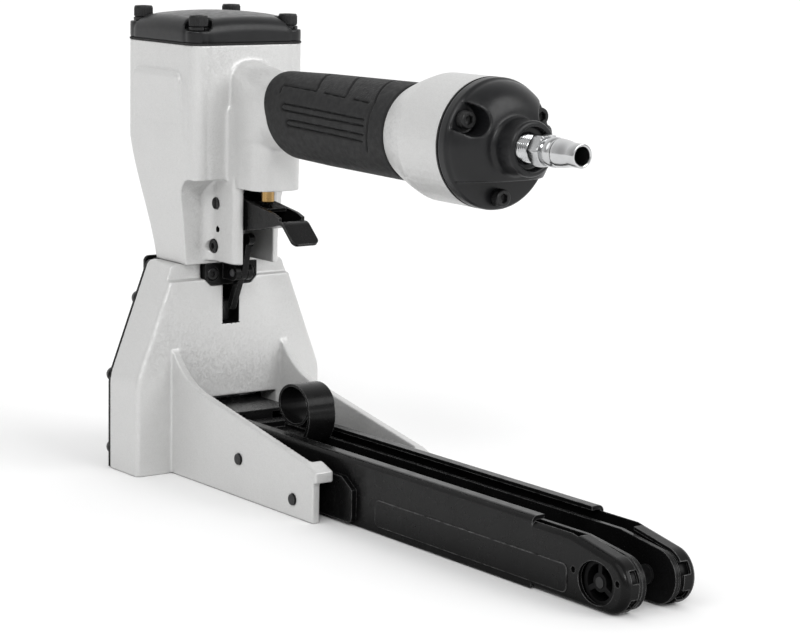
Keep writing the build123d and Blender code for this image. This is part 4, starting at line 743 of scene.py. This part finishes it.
def screw_set(context, node, direction, thread, key, head_h):
    """All the screws of one node as one piece."""
    knurl = context.scene.stapler_shape.knurl
    axis = Vector(direction)
    along = max(range(3), key=lambda i: abs(axis[i]))
    across = (along + 1) % 3
    height = (head_h or thread) * MM
    shape = bmesh.new()
    for low, high in islands(node):
        size = high - low
        middle = (low + high) / 2
        end = high[along] if axis[along] > 0 else low[along]
        middle[along] = end - axis[along] * height
        one = bmesh.new()
        length = size[along] - height
        if head_h:
            button_screw(one, thread * MM, size[across], height, length, key * MM)
        else:
            socket_screw(one, thread * MM, size[across], length, key * MM, knurl)
        one.transform(Matrix.Translation(middle) @ turn_to(axis))
        mesh = shape_mesh("one_screw", one)
        shape.from_mesh(mesh)
        bpy.data.meshes.remove(mesh)
    bmesh.ops.recalc_face_normals(shape, faces=shape.faces)
    name = node + "_heads"
    finish_piece(context, name, shape_mesh(name, shape), node, sharp_deg=28.0)


def spring_washers(context):
    """Split washers under the cap screws, with one end lifted."""
    shape = bmesh.new()
    split = math.radians(WASHER_SPLIT)
    rim = WASHER_EDGE
    for low, high in islands("cap_washers"):
        middle = (low + high) / 2
        outer = (high.x - low.x) / 2
        inner = outer * WASHER_BORE
        tall = high.z - low.z - WASHER_LIFT
        section = [
            (inner, rim), (inner + rim, 0), (outer - rim, 0), (outer, rim),
            (outer, tall - rim), (outer - rim, tall), (inner + rim, tall), (inner, tall - rim),
        ]
        rings = []
        for step in range(WASHER_STEPS + 1):
            angle = split + (ROUND - split) * step / WASHER_STEPS
            rise = low.z + WASHER_LIFT * step / WASHER_STEPS
            rings.append([
                (middle.x + r * math.cos(angle), middle.y + r * math.sin(angle), rise + z)
                for r, z in section
            ])
        skin_rings(shape, rings)
    bmesh.ops.recalc_face_normals(shape, faces=shape.faces)
    name = "spring_washers"
    finish_piece(context, name, shape_mesh(name, shape), "cap_washers", sharp_deg=30.0)


# Grip


# Lines in the grip: distance from its front in mm and angle up from its side in degrees
GRIP_LINES = {
    "first_step": [(13.3, 36.7), (12.1, 43.9), (12.8, 48.5), (28.0, 46.8), (43.4, 44.6), (43.1, 48.4),
                   (40.4, 60.5), (36.1, 78.9), (35.0, 90.0)],
    "second_step": [(51.1, 43.4), (60.4, 41.8), (69.5, 40.3), (70.0, 44.3), (67.4, 60.1), (61.7, 80.6),
                    (60.5, 90.0)],
    "third_step": [(77.7, 39.1), (91.7, 36.6)],
    "collar": [(94.3, -23.4), (95.2, -6.9), (96.1, 16.5), (96.0, 37.3), (93.0, 57.2), (89.3, 79.9),
               (88.5, 90.0)],
    "upper_rib": [(92.1, 14.7), (58.0, 18.4), (20.0, 21.9), (18.4, 19.5), (18.1, 16.9), (18.6, 14.5),
                  (20.4, 13.0), (50.6, 10.2), (92.0, 7.0)],
    "lower_rib": [(92.0, -4.4), (58.9, -2.5), (24.9, 0.0), (23.6, -1.8), (23.3, -4.2), (23.7, -6.6),
                  (25.4, -8.7), (58.9, -10.9), (90.9, -12.9)],
}
# Half width, half height and corner radius of the core in mm
GRIP_CORE = (17.0, 19.0, 16.5)
# Distance from the front, and wall at the side and at the top, in mm
GRIP_WALLS = [(-6.0, 3.0, 2.75), (30.0, 3.25, 3.75), (70.0, 4.25, 4.25), (110.0, 6.25, 4.75)]
# Where the front end meets the axis in mm, and its lean forward with height
GRIP_MIDDLE = 3.0
GRIP_SLANT = 0.36
# Radius of the rounded ends in mm
GRIP_RIM = 2.2
GRIP_ROUND = 264
GRIP_LONG = 216
OUTLINE_POINTS = 720
# Length in mm that counts as much as a degree where a line is laid on the skin
MM_PER_DEGREE = 0.4


def rounded_outline(half_y, half_z, radius, count):
    """Points round a rounded rectangle, evenly spaced, from the -Y side upwards."""
    turns = np.linspace(0, ROUND, OUTLINE_POINTS, endpoint=False)
    y = np.sign(np.cos(turns)) * (half_y - radius) + radius * np.cos(turns)
    z = np.sign(np.sin(turns)) * (half_z - radius) + radius * np.sin(turns)
    y, z = np.append(-y, -y[0]), np.append(z, z[0])
    run = np.concatenate([[0], np.cumsum(np.hypot(np.diff(y), np.diff(z)))])
    even = np.linspace(0, run[-1], count, endpoint=False)
    return np.interp(even, run, y), np.interp(even, run, z)


def line_distance(points, line):
    """Least distance from each point to a chain of points in space."""
    best = np.full(len(points), np.inf)
    for a, b in zip(line, line[1:]):
        step = b - a
        t = np.clip((points - a) @ step / max(step @ step, 1e-12), 0, 1)
        best = np.minimum(best, np.linalg.norm(points - a - t[:, None] * step, axis=1))
    return best


def grip_skin():
    """Outer skin of the grip in mm from its front and axis: an array of rings of points."""
    wall_at, wall_y, wall_z = (np.array(column) for column in zip(*GRIP_WALLS))
    half_y, half_z, radius = GRIP_CORE
    length = wall_at[-1]
    rings = []
    for share in np.linspace(0, 1, GRIP_LONG):
        station = wall_at[0] + share * (length - wall_at[0])
        grow_y = np.interp(station, wall_at, wall_y)
        grow_z = np.interp(station, wall_at, wall_z)
        y, z = rounded_outline(half_y + grow_y, half_z + grow_z, radius + grow_y, GRIP_ROUND)
        start = GRIP_MIDDLE - GRIP_SLANT * z
        rings.append(np.stack([start + share * (length - start), y, z], axis=1))
    return np.array(rings)


def laid_line(line, points, angle, reach):
    """Chain of points in space along a line of the grip, in small steps on its skin."""
    fine = []
    for (a0, d0), (a1, d1) in zip(line, line[1:]):
        steps = max(2, int(max(abs(a1 - a0) / 3, abs(d1 - d0) / 4)))
        fine += [(a0 + (a1 - a0) * i / steps, d0 + (d1 - d0) * i / steps) for i in range(steps)]
    fine.append(line[-1])
    chain = []
    for along, degrees in fine:
        near = np.argmin((points[:, 0] - along) ** 2 + ((angle - degrees) * MM_PER_DEGREE) ** 2)
        turn = math.radians(degrees)
        chain.append(np.array([along, -reach[near] * math.cos(turn), reach[near] * math.sin(turn)]))
    return chain


def pebble_field(points, angle):
    """Points in the pebbled field, which lies above the steps and between the first one and the collar."""
    first, second, third, collar = (
        np.array(GRIP_LINES[name]) for name in ("first_step", "second_step", "third_step", "collar")
    )
    below = np.array([first[4], second[0], second[2], third[1]])
    bottom = np.interp(points[:, 0], below[:, 0], below[:, 1])
    front = np.interp(angle, first[4:, 1], first[4:, 0])
    rear = np.interp(angle, collar[3:, 1], collar[3:, 0])
    return (angle > bottom + 2) & (points[:, 0] > front + 1) & (points[:, 0] < rear - 1)


def grip_piece(context):
    """Rubber sleeve with its stepped lines, ribs and pebbled fields."""
    sizes = context.scene.stapler_shape
    low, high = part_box("grip_sleeve")
    width = sizes.groove_width / MM
    skin = grip_skin()
    rings, count, _ = skin.shape
    points = skin.reshape(-1, 3)
    length = GRIP_WALLS[-1][0]
    one_side = points.copy()
    one_side[:, 1] = -np.abs(points[:, 1])
    angle = np.degrees(np.arctan2(points[:, 2], np.abs(points[:, 1])))
    reach = np.hypot(points[:, 1], points[:, 2])
    lined = np.zeros(len(points))
    for line in GRIP_LINES.values():
        gap = line_distance(one_side, laid_line(line, points, angle, reach))
        lined = np.maximum(lined, np.exp(-((gap / width) ** 4)))
    sink = lined * sizes.groove_depth / MM
    front = points[:, 0] - np.tile(skin[0][:, 0], rings)
    for gap in (front, length - points[:, 0]):
        into = np.clip(GRIP_RIM - gap, 0, GRIP_RIM)
        sink += GRIP_RIM - np.sqrt(GRIP_RIM**2 - into**2)
    pebble = pebble_field(points, angle)
    outward = points * (0, 1, 1) / reach[:, None]
    outer = (points - outward * sink[:, None]).reshape(rings, count, 3)
    core_y, core_z = rounded_outline(*GRIP_CORE, count)
    bore = [np.stack([at, core_y, core_z], axis=1) for at in (skin[0][:, 0], np.full(count, length))]
    offset = np.array([high.x / MM - length, 0.0, (low.z + high.z) / 2 / MM])
    shape = bmesh.new()
    field = shape.verts.layers.float.new("pebble")
    groove = shape.verts.layers.float.new("line")
    every = [bore[0], *outer, bore[1]]
    rows = skin_rings(shape, [[Vector((p + offset) * MM) for p in ring] for ring in every], closed=False)
    for i in range(count):
        j = (i + 1) % count
        shape.faces.new((rows[-1][i], rows[-1][j], rows[0][j], rows[0][i]))
    bmesh.ops.recalc_face_normals(shape, faces=shape.faces)
    for ring, row in enumerate(rows[1:-1]):
        for i, vert in enumerate(row):
            vert[field] = float(pebble[ring * count + i])
            vert[groove] = float(lined[ring * count + i])
    name = "rubber_grip"
    finish_piece(context, name, shape_mesh(name, shape), "grip_sleeve", sharp_deg=60.0)


# Air plug


PLUG_POINTS = 120
# Radius in mm of the bore, of the front end and of the neck before the hexagon, and length of that neck
PLUG_BORE = 4.2
PLUG_FRONT = 5.6
PLUG_NECK = 5.9
NECK_LENGTH = 0.7
# Pipe thread in mm, its rings per turn, and its start and end from the plug's front and from the hexagon
THREAD_PITCH = 1.34
THREAD_TOP = 6.55
THREAD_DEPTH = 1.0
THREAD_STEPS = 8
THREAD_START = 0.6
THREAD_END = 1.0
# Hexagon in mm: its ends behind the rear cap, half its width, and its chamfer as distance and radius
HEX_ENDS = (3.5, 11.0)
HEX_HALF = 7.0
HEX_CHAMFER = [(0.0, 6.9), (0.7, 7.9), (0.9, 8.2)]
# Plug behind its hexagon, and in front of its rear end, as distance and radius in mm
PLUG_BODY = [
    (0.0, 5.9), (1.0, 5.8), (1.9, 5.8), (2.3, 6.4), (2.7, 6.85), (3.2, 6.9), (5.0, 6.9), (5.5, 6.7),
    (6.0, 6.25), (7.0, 6.2), (7.4, 6.5), (7.9, 6.7), (9.5, 6.6), (11.5, 6.4), (13.0, 6.2), (14.5, 5.9),
    (16.0, 5.65), (17.3, 5.5),
]
PLUG_MOUTH = [(5.4, 5.5), (0.3, 5.5), (0.1, 5.4), (0.0, 5.2), (0.0, 4.8), (0.3, 4.35), (1.0, PLUG_BORE)]


def plug_piece(context):
    """Air plug: pipe thread, hexagon, collar and a smooth nipple with an open bore."""
    low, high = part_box("air_plug")
    cap_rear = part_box("end_cap")[1].x / MM
    middle_z = (low.z + high.z) / 2 / MM
    start, rear = low.x / MM, high.x / MM
    hex_front, hex_rear = (cap_rear + end for end in HEX_ENDS)

    def thread(x):
        def reach(angle):
            turn = (x / THREAD_PITCH + angle / ROUND) % 1.0
            return THREAD_TOP - THREAD_DEPTH * (1 - abs(2 * turn - 1))
        return reach

    def hexagon(limit):
        return lambda angle: min(hex_reach(HEX_HALF, angle), limit)

    stations = [(start, PLUG_BORE), (start, PLUG_FRONT)]
    x = start + THREAD_START
    while x < hex_front - THREAD_END:
        stations.append((x, thread(x)))
        x += THREAD_PITCH / THREAD_STEPS
    stations += [(hex_front - NECK_LENGTH, PLUG_NECK), (hex_front, PLUG_NECK)]
    stations += [(hex_front + along, hexagon(limit)) for along, limit in HEX_CHAMFER]
    stations += [(hex_rear - along, hexagon(limit)) for along, limit in reversed(HEX_CHAMFER)]
    stations += [(hex_rear + along, radius) for along, radius in PLUG_BODY]
    stations += [(rear - along, radius) for along, radius in PLUG_MOUTH]
    stations.append((start, PLUG_BORE))
    rings = []
    for x, radius in stations:
        ring = []
        for i in range(PLUG_POINTS):
            angle = ROUND * i / PLUG_POINTS
            r = radius(angle) if callable(radius) else radius
            ring.append(Vector((x, r * math.cos(angle), middle_z + r * math.sin(angle))) * MM)
        rings.append(ring)
    shape = bmesh.new()
    rows = skin_rings(shape, rings, closed=False)
    bmesh.ops.remove_doubles(shape, verts=rows[0] + rows[-1], dist=WELD)
    bmesh.ops.recalc_face_normals(shape, faces=shape.faces)
    name = "bright_plug"
    finish_piece(context, name, shape_mesh(name, shape), "air_plug", sharp_deg=32.0)


# Springs


def spring_pieces(context):
    """Springs as pieces of their own, each with its finish and body; their shortening as the joints move is
    not built.
    """
    for joint in frame["record"]["behaviour"]["joints"]:
        for spring in joint.get("deforming_nodes", []):
            node = spring["node"]
            letter = spring["mode"][-1]
            along = "xyz".index(letter)
            piece = finish_piece(context, node + "_strip", shape_mesh(node + "_strip", welded(node)), node)
            axis, anchor = Vector(), Vector()
            axis[along] = 1.0
            anchor[along] = spring[f"fixed_end_{letter}_m"]
            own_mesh(piece)


# Operators


SHEETS = [
    "front_plate", "front_guard", "safety_bracket", "safety_lever", "right_carrier", "left_carrier",
    "right_outer_plate", "left_outer_plate", "right_inner_plate", "left_inner_plate", "magazine_bridge",
    "pusher", "trigger",
]
CAPS = [("top_cap", "domed_cap"), ("end_cap", "rear_cap")]
# Camera fitted to the straight edges of the tool: turn, rise and roll in degrees, place in mm to its right,
# up and back from a point on the X axis, and focal length and middle of the picture in pixels
CAMERA_TURNS = (53.527, 9.613, 1.084)
CAMERA_PLACE = (91.851, 75.813, 1403.1)
CAMERA_ORIGIN = (-146.85, 0.0, 0.0)
FOCAL_PIXELS = 2601.77
PICTURE_WIDTH = 800
PICTURE_MIDDLE = 322.0
OPTICAL_MIDDLE = 324.519
SENSOR = 36.0
# Lights: name, property, spread in degrees, and direction as shares of back, right and up
LIGHTS = [
    ("key_light", "key", 50.0, (0.8, -0.65, 0.85)),
    ("fill_light", "fill", 45.0, (0.5, 0.9, 0.5)),
    ("front_light", "front", 16.0, (1.0, 0.0, 0.45)),
]
# How far towards the back of the scene the room's light begins and ends to turn into the backdrop's
ROOM_EDGE = -0.4
BACKDROP_EDGE = 0.7
FLOOR_HALF = 30.0


class STAPLER_OT_finishes(bpy.types.Operator):
    """Gives every CAD piece the finish of its slot"""

    bl_idname = "stapler.finishes"
    bl_label = "Finish the CAD pieces"

    def execute(self, context):
        for node in node_slots():
            for material_slot in NODES[node].material_slots:
                material_slot.material = node_finish(context, node)
        return {"FINISHED"}


class STAPLER_OT_castings(bpy.types.Operator):
    """Builds the housing and the foot with soft cast edges"""

    bl_idname = "stapler.castings"
    bl_label = "Build the castings"

    def execute(self, context):
        sizes = context.scene.stapler_shape
        grain = (sizes.cast_voxel, sizes.cast_passes, CAST_KEEP)
        housing = cast_piece(context, "cylinder_housing", "housing_cast", *grain, soft=HOUSING_BLENDS)
        # Painted shade: darker finishes on the faces between the cheeks, in the cheek hole and in the lever's
        # slot
        paint_shade_in_box(housing, CHEEK_GAP, "thin_paint")
        paint_shade_in_box(housing, CHEEK_HOLE, "bare_cavity")
        foot = cast_piece(context, "base_casting", "foot_cast", *grain)
        paint_shade_in_box(foot, LEVER_SLOT, "bare_cavity")
        return {"FINISHED"}


class STAPLER_OT_caps(bpy.types.Operator):
    """Builds the top cap and the rear cap"""

    bl_idname = "stapler.caps"
    bl_label = "Build the caps"

    def execute(self, context):
        sizes = context.scene.stapler_shape
        for node, name in CAPS:
            cast_piece(context, node, name, sizes.cap_voxel, sizes.cap_passes, CAP_KEEP)
        return {"FINISHED"}


class STAPLER_OT_grip(bpy.types.Operator):
    """Builds the rubber grip with its lines"""

    bl_idname = "stapler.grip"
    bl_label = "Build the grip"

    def execute(self, context):
        grip_piece(context)
        return {"FINISHED"}


class STAPLER_OT_screws(bpy.types.Operator):
    """Builds the screws and the spring washers"""

    bl_idname = "stapler.screws"
    bl_label = "Build the screws"

    def execute(self, context):
        for row in SCREWS:
            screw_set(context, *row)
        spring_washers(context)
        return {"FINISHED"}


class STAPLER_OT_plug(bpy.types.Operator):
    """Builds the air plug"""

    bl_idname = "stapler.plug"
    bl_label = "Build the air plug"

    def execute(self, context):
        plug_piece(context)
        return {"FINISHED"}


class STAPLER_OT_springs(bpy.types.Operator):
    """Builds the springs"""

    bl_idname = "stapler.springs"
    bl_label = "Build the springs"

    def execute(self, context):
        spring_pieces(context)
        return {"FINISHED"}


class STAPLER_OT_sheets(bpy.types.Operator):
    """Builds the black sheet parts with broken edges"""

    bl_idname = "stapler.sheets"
    bl_label = "Build the sheet parts"

    def execute(self, context):
        edge = context.scene.stapler_shape.sheet_edge
        for node in SHEETS:
            sheet_piece(context, node, node + "_sheet", edge)
        return {"FINISHED"}


def camera_matrix():
    """Place of the camera in metres."""
    turn, rise, roll = (math.radians(degrees) for degrees in CAMERA_TURNS)
    right = Vector((math.cos(turn), math.sin(turn), 0))
    back = Vector((math.sin(turn) * math.cos(rise), -math.cos(turn) * math.cos(rise), math.sin(rise)))
    up = back.cross(right)
    right, up = (
        math.cos(roll) * right + math.sin(roll) * up,
        math.cos(roll) * up - math.sin(roll) * right,
    )
    along, above, behind = CAMERA_PLACE
    spot = (along * right + above * up + behind * back + Vector(CAMERA_ORIGIN)) * MM
    turned = Matrix((right, up, back)).transposed().to_4x4()
    return Matrix.Translation(spot) @ turned


def make_floor(scene, colour):
    """Pale floor under the tool."""
    far = FLOOR_HALF
    mesh = bpy.data.meshes.new("floor")
    mesh.from_pydata([(-far, -far, 0), (far, -far, 0), (far, far, 0), (-far, far, 0)], [], [(0, 1, 2, 3)])
    floor = bpy.data.objects.new("floor", mesh)
    scene.collection.objects.link(floor)
    material = bpy.data.materials.new("pale_floor")
    tree, shader = surface(material)
    feed(tree, shader, Base_Color=colour, Roughness=0.9, Specular_IOR_Level=0.1)
    mesh.materials.append(material)


def make_lights(scene, stage, back, right):
    """Suns that shine from directions set out from the camera's."""
    for name, strength, degrees, (share_back, share_right, share_up) in LIGHTS:
        toward = share_back * back + share_right * right + share_up * Vector((0, 0, 1))
        light = bpy.data.lights.new(name, "SUN")
        light.energy = getattr(stage, strength)
        light.angle = math.radians(degrees)
        lamp = bpy.data.objects.new(name, light)
        lamp.rotation_euler = toward.to_track_quat("Z", "Y").to_euler()
        lamp.location = toward
        scene.collection.objects.link(lamp)


def make_room(scene, stage, back):
    """White room, bright behind the tool and dimmer in front of it."""
    world = bpy.data.worlds.new("studio")
    world.use_nodes = True
    tree = world.node_tree
    heading = tree.nodes.new("ShaderNodeTexCoord").outputs["Generated"]
    behind = vector_math(tree, "DOT_PRODUCT", i0=heading, i1=-back).outputs["Value"]
    level = add(
        tree, "ShaderNodeMapRange", {"interpolation_type": "SMOOTHSTEP"}, Value=behind,
        From_Min=ROOM_EDGE, From_Max=BACKDROP_EDGE, To_Min=stage.room, To_Max=stage.backdrop,
    )
    feed(tree, tree.nodes["Background"], Color=(1.0, 1.0, 1.0, 1.0), Strength=level.outputs["Result"])
    scene.world = world


def make_camera(scene, placed):
    data = bpy.data.cameras.new("camera")
    data.sensor_fit = "HORIZONTAL"
    data.sensor_width = SENSOR
    data.lens = FOCAL_PIXELS / PICTURE_WIDTH * SENSOR
    data.shift_y = (OPTICAL_MIDDLE - PICTURE_MIDDLE) / PICTURE_WIDTH
    data.clip_start, data.clip_end = 0.05, 100.0
    camera = bpy.data.objects.new("camera", data)
    camera.matrix_world = placed
    scene.collection.objects.link(camera)
    scene.camera = camera


class STAPLER_OT_stage(bpy.types.Operator):
    """Makes the floor, the lights and the camera"""

    bl_idname = "stapler.stage"
    bl_label = "Build the stage"

    def execute(self, context):
        scene = context.scene
        stage = scene.stapler_stage
        placed = camera_matrix()
        right, back = placed.col[0].to_3d(), placed.col[2].to_3d()
        make_floor(scene, stage.floor)
        make_lights(scene, stage, back, right)
        make_room(scene, stage, back)
        make_camera(scene, placed)
        scene.view_settings.view_transform = "Standard"
        return {"FINISHED"}


class STAPLER_PT_panel(bpy.types.Panel):
    """Lists the sizes, finishes and builders of the stapler"""

    bl_idname = "STAPLER_PT_panel"
    bl_label = "Carton Stapler"
    bl_space_type = "VIEW_3D"
    bl_region_type = "UI"
    bl_category = "Stapler"

    def draw(self, context):
        layout = self.layout
        for group in (context.scene.stapler_shape, context.scene.stapler_finish, context.scene.stapler_stage):
            box = layout.box()
            for name in group.__annotations__:
                box.prop(group, name)
        for operator in OPERATORS:
            layout.operator(operator.bl_idname)


OPERATORS = (
    STAPLER_OT_finishes, STAPLER_OT_castings, STAPLER_OT_caps, STAPLER_OT_grip, STAPLER_OT_screws,
    STAPLER_OT_plug, STAPLER_OT_springs, STAPLER_OT_sheets, STAPLER_OT_stage,
)
GROUPS = (StaplerFinish, StaplerShape, StaplerStage)


def register():
    for cls in (*GROUPS, *OPERATORS, STAPLER_PT_panel):
        bpy.utils.register_class(cls)
    bpy.types.Scene.stapler_finish = PointerProperty(type=StaplerFinish)
    bpy.types.Scene.stapler_shape = PointerProperty(type=StaplerShape)
    bpy.types.Scene.stapler_stage = PointerProperty(type=StaplerStage)


def unregister():
    del bpy.types.Scene.stapler_stage
    del bpy.types.Scene.stapler_shape
    del bpy.types.Scene.stapler_finish
    for cls in reversed((*GROUPS, *OPERATORS, STAPLER_PT_panel)):
        bpy.utils.unregister_class(cls)


def main():
    register()
    bpy.ops.stapler.finishes()
    bpy.ops.stapler.castings()
    bpy.ops.stapler.caps()
    bpy.ops.stapler.grip()
    bpy.ops.stapler.screws()
    bpy.ops.stapler.plug()
    bpy.ops.stapler.springs()
    bpy.ops.stapler.sheets()
    bpy.ops.stapler.stage()


if __name__ == "__main__":
    main()
